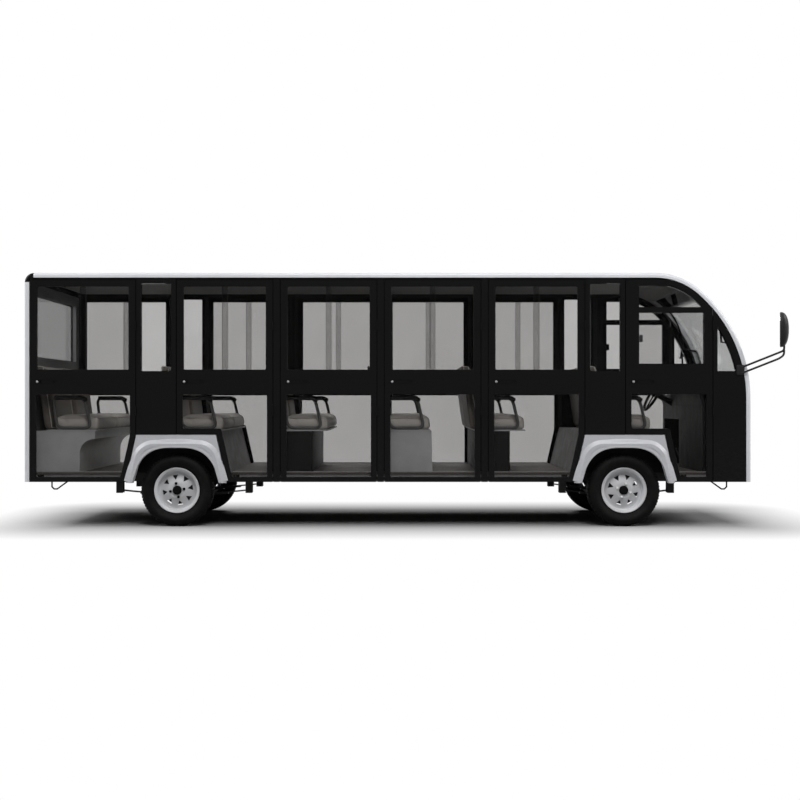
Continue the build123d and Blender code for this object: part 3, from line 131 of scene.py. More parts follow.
class Recipe:
    """Node tree of one material or world while it is put together."""

    def __init__(self, owner: Any, output: str = "ShaderNodeOutputMaterial") -> None:
        """Start an empty tree with its output node."""
        owner.use_nodes = True
        self.owner, self.tree = owner, owner.node_tree
        self.tree.nodes.clear()
        self.output = self.tree.nodes.new(output)

    @cached_property
    def place(self) -> Socket:
        """Object coordinates."""
        return self.tree.nodes.new("ShaderNodeTexCoord").outputs["Object"]

    def fill(self, socket: Socket, value: Any) -> None:
        """Link an input to a socket or give it a value."""
        if isinstance(value, Socket):
            self.tree.links.new(value, socket)
        else:
            socket.default_value = value

    def node(self, kind: str, settings: Optional[Dict[str, Any]] = None, **inputs: Any) -> bpy.types.Node:
        """Add a node and fill its sockets with values or links.

        Args:
            kind: Blender's name of the node type.
            settings: properties of the node itself.
            inputs: sockets by name, blanks written as underscores; a socket value is linked.

        Returns:
            The new node.
        """
        made = self.tree.nodes.new(kind)
        for key, value in (settings or {}).items():
            setattr(made, key, value)
        for key, value in inputs.items():
            self.fill(made.inputs[key.replace("_", " ")], value)
        return made

    def sum(self, operation: str, *values: Any) -> Socket:
        """Arithmetic of sockets or numbers, by Blender's name of the operation."""
        made = self.node("ShaderNodeMath", {"operation": operation})
        for socket, value in zip(made.inputs, values):
            self.fill(socket, value)
        return made.outputs["Value"]

    def vector(self, operation: str, *values: Any) -> Socket:
        """Arithmetic of vectors, as sockets or values; a dot product comes out as a number."""
        made = self.node("ShaderNodeVectorMath", {"operation": operation})
        for socket, value in zip(made.inputs, values):
            self.fill(socket, value)
        return made.outputs["Value" if operation == "DOT_PRODUCT" else "Vector"]

    def noise(self, scale: float, detail: float, stretch: Point = (1, 1, 1)) -> Socket:
        """Cloudy pattern of 0 to 1: features to the metre, number of finer layers, scale along each axis."""
        place = self.node("ShaderNodeMapping", Vector=self.place, Scale=tuple(stretch)).outputs["Vector"]
        return self.node("ShaderNodeTexNoise", Vector=place, Scale=scale, Detail=detail).outputs["Fac"]

    def cells(self, scale: float, feature: str = "F1") -> Socket:
        """Pattern of cells, so many to the metre: F1 for domes, DISTANCE_TO_EDGE for the creases."""
        made = self.node("ShaderNodeTexVoronoi", {"feature": feature}, Vector=self.place, Scale=scale)
        return made.outputs["Distance"]

    def span(self, value: Socket, low: float, high: float, start: float = 0.0, end: float = 1.0) -> Socket:
        """Map the range from start to end onto low to high, clamped."""
        made = self.node("ShaderNodeMapRange", Value=value, From_Min=start, From_Max=end,
                         To_Min=low, To_Max=high)
        return made.outputs["Result"]

    def patches(self, scale: float, detail: float, low: float = 0.0, high: float = 1.0, start: float = 0.3,
                end: float = 0.7, stretch: Point = (1, 1, 1)) -> Socket:
        """Cloudy pattern whose range from start to end is mapped onto low to high."""
        return self.span(self.noise(scale, detail, stretch), low, high, start, end)

    def blend(self, share: Socket, first: Any, second: Any) -> Socket:
        """Mix two colours or colour sockets: share 0 gives the first, 1 the second."""
        made = self.node("ShaderNodeMix", {"data_type": "RGBA"})
        self.fill(made.inputs["Factor"], share)
        for socket, value in zip((made.inputs[6], made.inputs[7]), (first, second)):
            self.fill(socket, value if isinstance(value, Socket) else (*value, 1.0))
        return made.outputs[2]

    def bump(self, height: Socket, distance: float, strength: float,
             under: Optional[Socket] = None) -> Socket:
        """Relief: height 1 stands for a distance in metres; it may lie on another relief."""
        made = self.node("ShaderNodeBump", Height=height, Distance=distance, Strength=strength)
        if under is not None:
            self.fill(made.inputs["Normal"], under)
        return made.outputs["Normal"]

    def axis(self, letter: str) -> Socket:
        """One Object coordinate as a number."""
        return self.node("ShaderNodeSeparateXYZ", Vector=self.place).outputs[letter]

    def normal(self) -> Socket:
        """The surface normal."""
        return self.node("ShaderNodeNewGeometry").outputs["Normal"]

    def facing(self, letter: str) -> Socket:
        """One component of the surface normal."""
        return self.node("ShaderNodeSeparateXYZ", Vector=self.normal()).outputs[letter]

    def seen_rays(self) -> Socket:
        """1 where the camera looks straight, by a mirror or through glass, else 0."""
        rays = self.node("ShaderNodeLightPath").outputs
        share = self.sum("MAXIMUM", rays["Is Camera Ray"], rays["Is Glossy Ray"])
        return self.sum("MAXIMUM", share, rays["Is Transmission Ray"])

    def coat(self, tone: Socket, rough: Any, relief: Socket, specular: float = 0.5,
             metal: float = 0.0) -> Socket:
        """Shader of a colour, a roughness and a relief."""
        made = self.node("ShaderNodeBsdfPrincipled", Base_Color=tone, Roughness=rough, Normal=relief,
                         Specular_IOR_Level=specular, Metallic=metal)
        return made.outputs["BSDF"]

    def mixed(self, share: Socket, first: Socket, second: Socket) -> Socket:
        """Two shaders mixed: share 0 gives the first, 1 the second."""
        made = self.node("ShaderNodeMixShader", Fac=share)
        self.fill(made.inputs[1], first)
        self.fill(made.inputs[2], second)
        return made.outputs["Shader"]

    def done(self, shader: Socket) -> Any:
        """Join the shader to the output and return the material or world."""
        self.fill(self.output.inputs["Surface"], shader)
        return self.owner


def grey(value: float) -> Color:
    """Neutral colour of one linear value."""
    return (value, value, value)


def shade(color: Color, factor: float) -> Color:
    """Colour made lighter or darker by a factor."""
    return tuple(min(1.0, part * factor) for part in color)


MADE: Dict[str, bpy.types.Material] = {}


@dataclass(frozen=True)
class Finish:
    """A surface finish that makes its own material once."""

    name: str
    color: Color
    roughness: float = 0.4

    def surface(self, recipe: Recipe) -> Socket:
        """Shader of the finish in a material's tree."""
        raise NotImplementedError

    def material(self) -> bpy.types.Material:
        """The finish's material, made at its first use."""
        if self.name not in MADE:
            recipe = Recipe(bpy.data.materials.new(self.name))
            MADE[self.name] = recipe.done(self.surface(recipe))
        return MADE[self.name]

    def varied(self, recipe: Recipe, share: Socket, first: float, second: float) -> Socket:
        """The finish's colour times the first factor where the share is 0 and the second where it is 1."""
        return recipe.blend(share, shade(self.color, first), shade(self.color, second))


@dataclass(frozen=True)
class GlossPaint(Finish):
    """Sprayed gloss paint: slight orange peel, a film of dust low down, faint cloudiness."""

    specular: float = 0.5
    dust: Color = (0.22, 0.20, 0.17)
    dust_low: float = 0.3
    dust_top: float = 0.9
    dust_share: float = 0.10
    # Share of dust and painted shade on faces that look up.
    settled: float = 0.0
    # Darker colour painted as the cabin's shade on faces toward the cabin's middle, and their roughness
    # there.
    inside: Optional[Color] = None
    inside_rough: float = 0.95

    def surface(self, recipe: Recipe) -> Socket:
        """Shader of the paint: dust settles on what looks up, and the same share darkens the upward faces as
        painted shade; faces toward the cabin may take a painted shade of their own.
        """
        tone = self.varied(recipe, recipe.patches(1.7, 4.0), 0.95, 1.04)
        low = recipe.span(recipe.axis("Z"), 1.0, 0.0, self.dust_low, self.dust_top)
        specks = recipe.patches(38.0, 6.0, 0.0, 1.0, 0.42, 0.75, (1, 1, 2.5))
        film = recipe.sum("MULTIPLY", recipe.sum("MULTIPLY", low, specks), self.dust_share)
        tone = recipe.blend(film, tone, self.dust)
        # Upward faces take dust and, with the same share, painted shade that tones down the light falling on
        # the tops.
        streaks = recipe.patches(5.0, 9.0, 0.90, 1.08, stretch=(0.5, 2.0, 1.0))
        up = recipe.span(recipe.facing("Z"), 0.0, self.settled, 0.30, 0.90)
        settled = recipe.sum("MULTIPLY", up, streaks)
        tone = recipe.blend(settled, tone, self.dust)
        rough = recipe.patches(9.0, 5.0, self.roughness * 0.8, self.roughness * 1.3)
        rough = recipe.sum("ADD", rough, recipe.sum("MULTIPLY", recipe.sum("ADD", film, settled), 1.2))
        # Faces toward the cabin take the darker inside colour, painted shade of the cabin's interior, and a
        # matt finish.
        if self.inside is not None:
            inward = self.inward(recipe)
            tone = recipe.blend(inward, tone, self.inside)
            rough = recipe.sum("MAXIMUM", rough, recipe.sum("MULTIPLY", inward, self.inside_rough))
        peel = recipe.bump(recipe.noise(420.0, 2.0), 0.00004, 0.35)
        return recipe.coat(tone, rough, peel, self.specular)

    def inward(self, recipe: Recipe) -> Socket:
        """1 on faces whose normal goes along the line to the cabin's middle, else 0: where the paint takes
        its painted shade of the cabin.
        """
        toward = recipe.vector("SUBTRACT", CABIN_MIDDLE, recipe.place)
        toward = recipe.vector("MULTIPLY", toward, CABIN_WEIGHTS)
        return recipe.span(recipe.vector("DOT_PRODUCT", recipe.normal(), toward), 0.0, 1.0, 0.10, 0.14)


@dataclass(frozen=True)
class SatinPaint(Finish):
    """Brushed-on or powder paint on steel: fine texture, grime and a few chips."""

    grime: Color = (0.09, 0.08, 0.07)
    grime_share: float = 0.35
    specular: float = 0.2
    grain: float = 260.0
    # Near-black behind the disc: brake dust and painted shade of the inner barrel.
    back: Optional[Color] = None
    back_y: float = 0.6572
    back_edge: float = 0.0005

    def surface(self, recipe: Recipe) -> Socket:
        """Shader of the paint with its grime; the side of a wheel toward the car may be darker, brake dust
        and painted shade behind the disc.
        """
        patch = recipe.patches(6.0, 6.0, 0.0, self.grime_share, 0.42, 0.72)
        tone = recipe.blend(patch, self.color, self.grime)
        chips = recipe.patches(85.0, 3.0, 0.0, 0.25, 0.70, 0.76)
        tone = recipe.blend(chips, tone, shade(self.grime, 2.2))
        if self.back is not None:
            out = recipe.sum("ABSOLUTE", recipe.axis("Y"))
            shade_and_dust_behind = recipe.span(out, 1.0, 0.0, self.back_y - self.back_edge, self.back_y + self.back_edge)
            tone = recipe.blend(shade_and_dust_behind, tone, self.back)
        rough = recipe.patches(14.0, 5.0, self.roughness * 0.85, self.roughness * 1.25)
        relief = recipe.bump(recipe.noise(self.grain, 3.0), 0.0002, 0.35)
        return recipe.coat(tone, rough, relief, self.specular)


@dataclass(frozen=True)
class GrainedPlastic(Finish):
    """Moulded plastic with a pebbled grain and soft scuffs."""

    cells: float = 700.0
    depth: float = 0.00012
    specular: float = 0.4

    def tone(self, recipe: Recipe, scuff: Socket) -> Socket:
        """Colour of the plastic, lighter where it is scuffed."""
        return self.varied(recipe, scuff, 0.95, 1.06)

    def surface(self, recipe: Recipe) -> Socket:
        """Shader of the plastic."""
        scuff = recipe.patches(11.0, 6.0, 0.0, 1.0, 0.35, 0.75)
        rough = recipe.span(scuff, self.roughness * 1.1, self.roughness * 0.85)
        relief = recipe.bump(recipe.cells(self.cells), self.depth, 0.6)
        return recipe.coat(self.tone(recipe, scuff), rough, relief, self.specular)


@dataclass(frozen=True)
class WheelBoxBoard(GrainedPlastic):
    """Moulded board of the wheel boxes: grey toward the cabin, undercoat black toward the wheel."""

    specular: float = 0.1
    undercoat: Color = (0.002, 0.002, 0.002)

    def tone(self, recipe: Recipe, scuff: Socket) -> Socket:
        """Colour of the board.

        A face looks toward the wheel where its normal goes against the line from the nearer axle to the
        point, seen from the side, or straight out to the wheel.

        Args:
            recipe: tree to build in.
            scuff: 0 to 1 where the board is worn.

        Returns:
            The colour socket.
        """
        tone = self.varied(recipe, scuff, 0.9, 1.15)
        along = recipe.axis("X")
        ahead = recipe.sum("SUBTRACT", recipe.sum("ABSOLUTE", along), AXLE_REACH)
        ahead = recipe.sum("MULTIPLY", ahead, recipe.sum("SIGN", along))
        rise = recipe.sum("SUBTRACT", recipe.axis("Z"), TYRE_RADIUS)
        away = recipe.sum("ADD", recipe.sum("MULTIPLY", recipe.facing("X"), ahead),
                          recipe.sum("MULTIPLY", recipe.facing("Z"), rise))
        out = recipe.sum("MULTIPLY", recipe.facing("Y"), recipe.sum("SIGN", recipe.axis("Y")))
        away = recipe.sum("SUBTRACT", away, recipe.sum("MULTIPLY", out, 0.2))
        return recipe.blend(recipe.span(away, 1.0, 0.0, -0.06, -0.04), tone, self.undercoat)


@dataclass(frozen=True)
class Leather(Finish):
    """Artificial leather: pebble grain, creases with painted shade in them, slight polish where riders sit.
    """

    # Colour of faces that don't look up: darker leather and painted shade of those faces in one.
    upright: Optional[Color] = None
    pebbles: float = 330.0
    specular: float = 0.35

    def surface(self, recipe: Recipe) -> Socket:
        """Shader of the leather; faces that don't look up may take a darker colour, a two-tone colour and
        painted shade of the upright faces in one.
        """
        cloud = recipe.patches(4.0, 5.0)
        tone = self.varied(recipe, cloud, 0.90, 1.08)
        # Faces that don't look up take the upright colour: darker leather and painted shade.
        if self.upright is not None:
            tone = recipe.blend(recipe.span(recipe.facing("Z"), 1.0, 0.0, 0.45, 0.65), tone, self.upright)
        creases = recipe.cells(self.pebbles, "DISTANCE_TO_EDGE")
        # Painted shade in the creases of the grain.
        dark = recipe.sum("MULTIPLY", recipe.span(creases, 1.0, 0.0, 0.0, 0.12), 0.35)
        tone = recipe.blend(dark, tone, shade(self.color, 0.55))
        rough = recipe.span(cloud, self.roughness * 1.1, self.roughness * 0.85)
        coarse = recipe.bump(recipe.noise(26.0, 4.0), 0.0012, 0.35)
        return recipe.coat(tone, rough, recipe.bump(creases, 0.0006, 0.5, coarse), self.specular)


@dataclass(frozen=True)
class FloorVinyl(Finish):
    """Floor covering: speckled vinyl with rows of raised studs and trodden dirt."""

    studs: float = 42.0

    def surface(self, recipe: Recipe) -> Socket:
        """Shader of the covering."""
        tone = self.varied(recipe, recipe.patches(900.0, 2.0, 0.0, 1.0, 0.45, 0.65), 0.8, 1.3)
        dirt = recipe.patches(3.0, 6.0, 0.0, 0.5, 0.45, 0.75)
        tone = recipe.blend(dirt, tone, shade(self.color, 0.55))
        rough = recipe.span(dirt, self.roughness, self.roughness * 1.3)
        rows = recipe.node("ShaderNodeTexVoronoi", Vector=recipe.place, Scale=self.studs, Randomness=0.0)
        raised = recipe.span(rows.outputs["Distance"], 1.0, 0.0, 0.22, 0.34)
        return recipe.coat(tone, rough, recipe.bump(raised, 0.0010, 0.7))


@dataclass(frozen=True)
class TyreRubber(Finish):
    """Tyre rubber: dull black, dusty brown bloom, fine pitting."""

    dust: Color = (0.016, 0.015, 0.013)
    specular: float = 0.07

    def surface(self, recipe: Recipe) -> Socket:
        """Shader of the rubber."""
        tone = recipe.blend(recipe.patches(18.0, 6.0, 0.0, 0.30, 0.40, 0.80), self.color, self.dust)
        rough = recipe.patches(30.0, 4.0, self.roughness * 0.85, self.roughness * 1.1)
        return recipe.coat(tone, rough, recipe.bump(recipe.noise(700.0, 3.0), 0.0002, 0.4), self.specular)


@dataclass(frozen=True)
class PlatedMetal(Finish):
    """Plated or bare metal with fine brushing and fingermarks."""

    def surface(self, recipe: Recipe) -> Socket:
        """Shader of the metal."""
        mark = recipe.patches(40.0, 5.0, 0.0, 1.0, 0.35, 0.75)
        rough = recipe.span(mark, self.roughness * 0.8, self.roughness * 1.4)
        relief = recipe.bump(recipe.noise(300.0, 2.0), 0.00005, 0.4)
        return recipe.coat(self.varied(recipe, mark, 1.0, 0.85), rough, relief, metal=1.0)


@dataclass(frozen=True)
class TintedGlass(Finish):
    """Flat pane: light goes straight through, tinted at each face; a mirror share grows at the edge."""

    rear: Optional[Color] = None
    rear_x: Pair = (-3.08, -3.06)
    band: Optional[float] = None
    band_color: Color = (0.03, 0.03, 0.03)
    band_fade: float = 0.02

    def surface(self, recipe: Recipe) -> Socket:
        """Shader of the pane; the rear window may have its own tint and a pane a dark band above a height."""
        tone = self.varied(recipe, recipe.patches(2.2, 4.0), 0.985, 1.01)
        if self.rear is not None:
            tone = recipe.blend(recipe.span(recipe.axis("X"), 1.0, 0.0, *self.rear_x), tone, self.rear)
        if self.band is not None:
            edges = (self.band - self.band_fade, self.band + self.band_fade)
            tone = recipe.blend(recipe.span(recipe.axis("Z"), 0.0, 1.0, *edges), tone, self.band_color)
        clear = recipe.node("ShaderNodeBsdfTransparent", Color=tone).outputs["BSDF"]
        gloss = recipe.node("ShaderNodeBsdfGlossy", Roughness=self.roughness).outputs["BSDF"]
        edge = recipe.node("ShaderNodeLayerWeight", Blend=0.12).outputs["Fresnel"]
        return recipe.mixed(recipe.span(edge, 0.0, 0.5), clear, gloss)


@dataclass(frozen=True)
class LensPlastic(Finish):
    """Moulded lamp lens with fine ribs in its own colour."""

    ribs: float = 9.0
    rib_color: Color = (0.02, 0.02, 0.02)
    rear: Color = (0.40, 0.012, 0.010)
    low_front: Color = (0.46, 0.10, 0.03)
    low_top: float = 0.56

    def surface(self, recipe: Recipe) -> Socket:
        """Shader of the lenses: clear in front, amber low in front, red behind."""
        wave = recipe.node("ShaderNodeTexWave", {"bands_direction": "Y"}, Vector=recipe.place,
                           Scale=self.ribs)
        low = recipe.span(recipe.axis("Z"), 1.0, 0.0, self.low_top, self.low_top + 0.01)
        tone = recipe.blend(low, self.color, self.low_front)
        tone = recipe.blend(recipe.span(recipe.axis("X"), 1.0, 0.0, -0.1, 0.1), tone, self.rear)
        tone = recipe.blend(recipe.span(wave.outputs["Fac"], 0.0, 0.25), tone, self.rib_color)
        return recipe.coat(tone, self.roughness, recipe.bump(wave.outputs["Fac"], 0.0008, 0.6))


class Finishes:
    """The car's finishes by use."""

    # Inner faces get a darker grey, painted shade of the cabin; upward faces get dust and painted shade.
    WHITE = GlossPaint("body_white", (0.66, 0.67, 0.70), 0.22, specular=0.35, dust_share=0.20, settled=0.52,
                       dust=(0.27, 0.262, 0.25), inside=grey(0.36))
    FENDER = GlossPaint("fender_white", (0.50, 0.505, 0.53), 0.26, specular=0.35, dust_share=0.25)
    BLACK = GlossPaint("body_black", (0.0030, 0.0030, 0.0032), 0.13, specular=0.07, dust_share=0.03)
    DOOR_GLASS = TintedGlass("door_glass", (0.755, 0.752, 0.750), 0.02)
    FIXED_GLASS = TintedGlass("fixed_glass", (0.87, 0.87, 0.868), 0.02, rear=(0.72, 0.72, 0.72))
    SCREEN_GLASS = TintedGlass("screen_glass", (0.90, 0.91, 0.905), 0.02, band=1.89)
    CHASSIS = SatinPaint("chassis_black", grey(0.006), 0.5, grime=(0.03, 0.028, 0.025))
    CAST = SatinPaint("cast_iron", grey(0.02), 0.6, grain=180.0, grime=(0.04, 0.036, 0.03))
    SPRING = SatinPaint("spring_steel", grey(0.008), 0.45, grime=(0.03, 0.028, 0.025))
    FLOOR = FloorVinyl("floor_vinyl", (0.125, 0.110, 0.098), 0.55)
    BOARD = WheelBoxBoard("board_grey", grey(0.52), 0.5)
    BASE = GrainedPlastic("base_grey", (0.70, 0.705, 0.715), 0.42)
    PEDESTAL = GrainedPlastic("pedestal_black", grey(0.010), 0.5, specular=0.2)
    TUBE = SatinPaint("tube_grey", grey(0.15), 0.35, grime_share=0.1)
    PAD = Leather("arm_pad_black", grey(0.014), 0.5)
    CUSHION = Leather("cushion_leather", (0.78, 0.74, 0.69), 0.48)
    # Its upright colour on the front and sides is darker leather and painted shade.
    BACK = Leather("back_leather", (0.74, 0.70, 0.65), 0.48, upright=(0.16, 0.14, 0.12))
    PIPING = Leather("piping_leather", (0.74, 0.71, 0.67), 0.42)
    DASH = GrainedPlastic("dash_black", grey(0.011), 0.5, specular=0.25)
    BLACK_PLASTIC = GrainedPlastic("black_plastic", grey(0.010), 0.38, cells=900.0, specular=0.25)
    TYRE = TyreRubber("tyre_rubber", grey(0.0028), 0.58)
    # Its back colour is brake dust and painted shade behind the disc.
    RIM = SatinPaint("rim_white", (0.60, 0.605, 0.625), 0.32, grime=(0.30, 0.28, 0.26), grime_share=0.25,
                     back=grey(0.003))
    CHROME = PlatedMetal("chrome", (0.78, 0.78, 0.79), 0.12)
    ZINC = PlatedMetal("zinc_plate", (0.66, 0.66, 0.65), 0.3)
    KNOB = PlatedMetal("knob_satin", (0.22, 0.22, 0.23), 0.34)
    RUBBER = GrainedPlastic("seal_rubber", grey(0.006), 0.55, cells=1200.0, specular=0.15)
    LENS = LensPlastic("lamp_lens", (0.30, 0.31, 0.33), 0.10)
    MIRROR = PlatedMetal("mirror_glass", (0.85, 0.86, 0.87), 0.02)
    DIAL = GrainedPlastic("dial_face", grey(0.35), 0.35)
    SILL = GrainedPlastic("sill_grey", (0.50, 0.50, 0.51), 0.4)
    HUB = GrainedPlastic("hub_black", grey(0.003), 0.5, specular=0.05)
    ROD = SatinPaint("rod_black", grey(0.008), 0.4, grime=(0.02, 0.019, 0.018), specular=0.15)


NODE_FINISHES: Dict[str, Finish] = {node: finish for finish, nodes in (
    (Finishes.WHITE, "roof front_shell rear_panel"), (Finishes.FENDER, "fenders"),
    (Finishes.BLACK, "rear_cap side_frames side_panels"), (Finishes.FIXED_GLASS, "fixed_glass"),
    (Finishes.SCREEN_GLASS, "windscreen"), (Finishes.CHASSIS, "chassis_frame front_axle tow_loops tie_rod"),
    (Finishes.CAST, "rear_axle knuckle_right knuckle_left"), (Finishes.SPRING, "leaf_springs"),
    (Finishes.FLOOR, "floor_deck"), (Finishes.BOARD, "wheel_boxes"), (Finishes.BASE, "seat_bases"),
    (Finishes.TUBE, "armrests"), (Finishes.CUSHION, "seat_cushions"), (Finishes.BACK, "seat_backs"),
    (Finishes.DASH, "dashboard"), (Finishes.BLACK_PLASTIC, "steering_wheel mirrors wiper"),
    (Finishes.LENS, "lamps"),
) for node in nodes.split()}
KIND_FINISHES: Dict[str, Finish] = {
    "door": Finishes.BLACK, "glass": Finishes.DOOR_GLASS, "tyre": Finishes.TYRE, "rim": Finishes.RIM,
}


@dataclass
class Mesh:
    """Corner points and quads of a piece under construction."""

    points: Array
    quads: Array

    def moved(self, shift: Point) -> "Mesh":
        """The same mesh at another place."""
        return Mesh(self.points + np.asarray(shift, float), self.quads)

    def turned(self, turn: Array, shift: Point) -> "Mesh":
        """The same mesh turned by a matrix and then moved."""
        return Mesh(self.points @ turn.T + np.asarray(shift), self.quads)

    def on(self, side: Side) -> "Mesh":
        """A mesh of the left side, mirrored when it is for the right one."""
        if side is Side.LEFT:
            return self
        return Mesh(self.points * np.array([1.0, -1.0, 1.0]), self.quads[:, ::-1])

    @staticmethod
    def joined(parts: Sequence["Mesh"]) -> "Mesh":
        """Several meshes as one."""
        starts = np.cumsum([0] + [len(part.points) for part in parts[:-1]])
        quads = [part.quads + start for part, start in zip(parts, starts)]
        return Mesh(np.concatenate([part.points for part in parts]), np.concatenate(quads))


def unit(rows: Array) -> Array:
    """Rows of vectors, each made one long."""
    return rows / np.linalg.norm(rows, axis=1, keepdims=True)


def turns(count: int) -> Array:
    """Even angles once round."""
    return np.linspace(0, 2 * np.pi, count, endpoint=False)


def xyz(*parts: Any) -> Array:
    """Numbers or arrays, spread to one shape, as the coordinates of points."""
    return np.stack(np.broadcast_arrays(*parts), axis=-1)


def circle(angles: Array, radius: float) -> Array:
    """Points on a circle at some angles."""
    return radius * xyz(np.cos(angles), np.sin(angles))


def rotation(axis: str, angle: float) -> Array:
    """Matrix of a turn about Y or Z."""
    c, s = math.cos(angle), math.sin(angle)
    return np.array([[c, 0, s], [0, 1, 0], [-s, 0, c]] if axis == "Y" else [[c, -s, 0], [s, c, 0], [0, 0, 1]])


def skin(points: Array, closed: bool = False) -> Mesh:
    """Surface through rows of closed outlines: quad (i, j) joins the points i, i+1 and j, j+1.

    Args:
        points: array of rows, columns and XYZ; the last column joins the first.
        closed: the last row joins the first; if not, both end rows are drawn together to their middles.

    Returns:
        The closed mesh.
    """
    if not closed:
        first = np.broadcast_to(points[0].mean(axis=0), points[0].shape)
        last = np.broadcast_to(points[-1].mean(axis=0), points[-1].shape)
        points = np.concatenate([first[None], points, last[None]])
    rows, columns = points.shape[:2]
    index = np.arange(rows * columns).reshape(rows, columns)
    if closed:
        index = np.concatenate([index, index[:1]])
    index = np.concatenate([index, index[:, :1]], axis=1)
    corners = (index[:-1, :-1], index[1:, :-1], index[1:, 1:], index[:-1, 1:])
    return Mesh(points.reshape(-1, 3), np.stack(corners, axis=-1).reshape(-1, 4))


def lathe(profile: Any, centre: Point, axis: str, count: int, sign: int = 1) -> Mesh:
    """Surface of revolution: each profile point (radius, offset) runs once round the axis through the centre.

    Args:
        profile: rows of radius and offset along the axis, closed into a ring.
        centre: point on the axis.
        axis: letter of the axis.
        count: steps round.
        sign: -1 turns the offsets to the other side.

    Returns:
        The closed mesh.
    """
    turn = turns(count)[:, None]
    radius, along = np.asarray(profile, float).T[:, None] * np.array([1, sign])[:, None, None]
    one, two = radius * np.cos(turn), radius * np.sin(turn)
    order = {"X": (along, one, two), "Y": (two, along, one), "Z": (one, two, along)}[axis]
    return skin(xyz(*order) + np.asarray(centre, float), True)


def sweep(path: Array, profile: Array, up: Point, closed: bool) -> Mesh:
    """Profile carried along a path: its first coordinate goes sideways and its second up at each path point.

    Args:
        path: rows of XYZ.
        profile: rows of sideways and up, a closed ring.
        up: direction of the profile's second coordinate.
        closed: the path's end joins its start.

    Returns:
        The mesh, capped where the path is open.
    """
    if closed:
        ahead = np.roll(path, -1, axis=0) - path
        behind = path - np.roll(path, 1, axis=0)
    else:
        steps = np.diff(path, axis=0)
        ahead = np.concatenate([steps, steps[-1:]])
        behind = np.concatenate([steps[:1], steps])
    ahead, behind = unit(ahead), unit(behind)
    along = unit(ahead + behind)
    across = unit(np.cross(along, np.broadcast_to(np.asarray(up, float), along.shape)))
    over = np.cross(across, along)
    stretch = 1.0 / np.clip(np.sum(along * ahead, axis=1), 0.5, 1.0)
    sideways = across[:, None] * (profile[None, :, :1] * stretch[:, None, None])
    return skin(path[:, None] + sideways + over[:, None] * profile[None, :, 1:], closed)


def ring(radius: float, count: int) -> Array:
    """Round profile of a bar."""
    return circle(turns(count), radius)


def rounded_rectangle(low: Point, high: Point, radius: float, steps: int = 6) -> Array:
    """Outline of a rectangle with round corners.

    Args:
        low: lowest corner.
        high: highest corner.
        radius: of the corners.
        steps: points on each corner.

    Returns:
        Rows of two coordinates, once round.
    """
    turn = np.linspace(0, np.pi / 2, steps)
    centres = np.array([(high[0], high[1]), (low[0], high[1]), (low[0], low[1]), (high[0], low[1])], float)
    inset = radius * np.array([(-1, -1), (1, -1), (1, 1), (-1, 1)])
    angles = turn[None] + np.arange(4)[:, None] * np.pi / 2
    return ((centres + inset)[:, None] + circle(angles, radius)).reshape(-1, 2)


def rounded_polygon(corners: Array, radius: float, steps: int = 6) -> Array:
    """Closed outline with each corner replaced by a parabola that starts and ends one radius away from it.

    Args:
        corners: rows of coordinates, once round.
        radius: distance of the bend's ends from the corner.
        steps: points on each bend.

    Returns:
        Rows of coordinates, once round.
    """
    before = unit(np.roll(corners, 1, axis=0) - corners) * radius
    after = unit(np.roll(corners, -1, axis=0) - corners) * radius
    share = np.linspace(0, 1, steps)[None, :, None]
    bends = corners[:, None] + before[:, None] * (1 - share) ** 2 + after[:, None] * share ** 2
    return bends.reshape(-1, corners.shape[1])


def rounded_path(corners: Array, radius: float, steps: int) -> Array:
    """Open path whose inner corners are bent as in rounded_polygon and whose ends stay."""
    bends = rounded_polygon(corners, radius, steps).reshape(len(corners), steps, -1)[1:-1]
    return np.concatenate([corners[:1], bends.reshape(-1, corners.shape[1]), corners[-1:]])


def on_side(outline: Array, y: float) -> Array:
    """Outline of X and Z as a path at one Y."""
    return xyz(outline[:, 0], y, outline[:, 1])


def stationed(stations: Array, rows: Array) -> Array:
    """Outlines of two coordinates, one to a row, behind the row's station as the first coordinate."""
    return xyz(stations[:, None], rows[..., 0], rows[..., 1])


def tapered(path: Array, radii: Array, count: int, flat: float = 1.0) -> Mesh:
    """Round bar whose radius changes along an upright path: at each point an ellipse stands across the path.

    Args:
        path: rows of XYZ in a plane of constant Y.
        radii: half width at each point.
        count: steps round.
        flat: height of the ellipse over its width.

    Returns:
        The capped mesh.
    """
    turn = turns(count)
    along = unit(np.gradient(path, axis=0))
    over = xyz(-along[:, 2], 0.0, along[:, 0])
    wide = radii[:, None, None] * np.cos(turn)[None, :, None] * np.array(ACROSS, float)
    high = flat * radii[:, None, None] * np.sin(turn)[None, :, None] * over[:, None]
    return skin(path[:, None] + wide + high)


def box_bar(low: Point, high: Point, edge: float) -> Mesh:
    """Bar along X with rounded edges: a rounded rectangle of Y and Z carried from the low to the high X.

    Args:
        low: lowest corner.
        high: highest corner.
        edge: radius of the edges.

    Returns:
        The capped mesh.
    """
    outline = rounded_rectangle(low[1:], high[1:], edge, 4)
    middle = outline.mean(axis=0)
    stations = np.array([low[0], low[0] + edge, high[0] - edge, high[0]])
    size = (np.asarray(high[1:]) - np.asarray(low[1:])) / 2
    share = 1.0 - np.array([edge, 0.0, 0.0, edge])[:, None] / size[None]
    return skin(stationed(stations, middle + (outline - middle)[None] * share[:, None]))


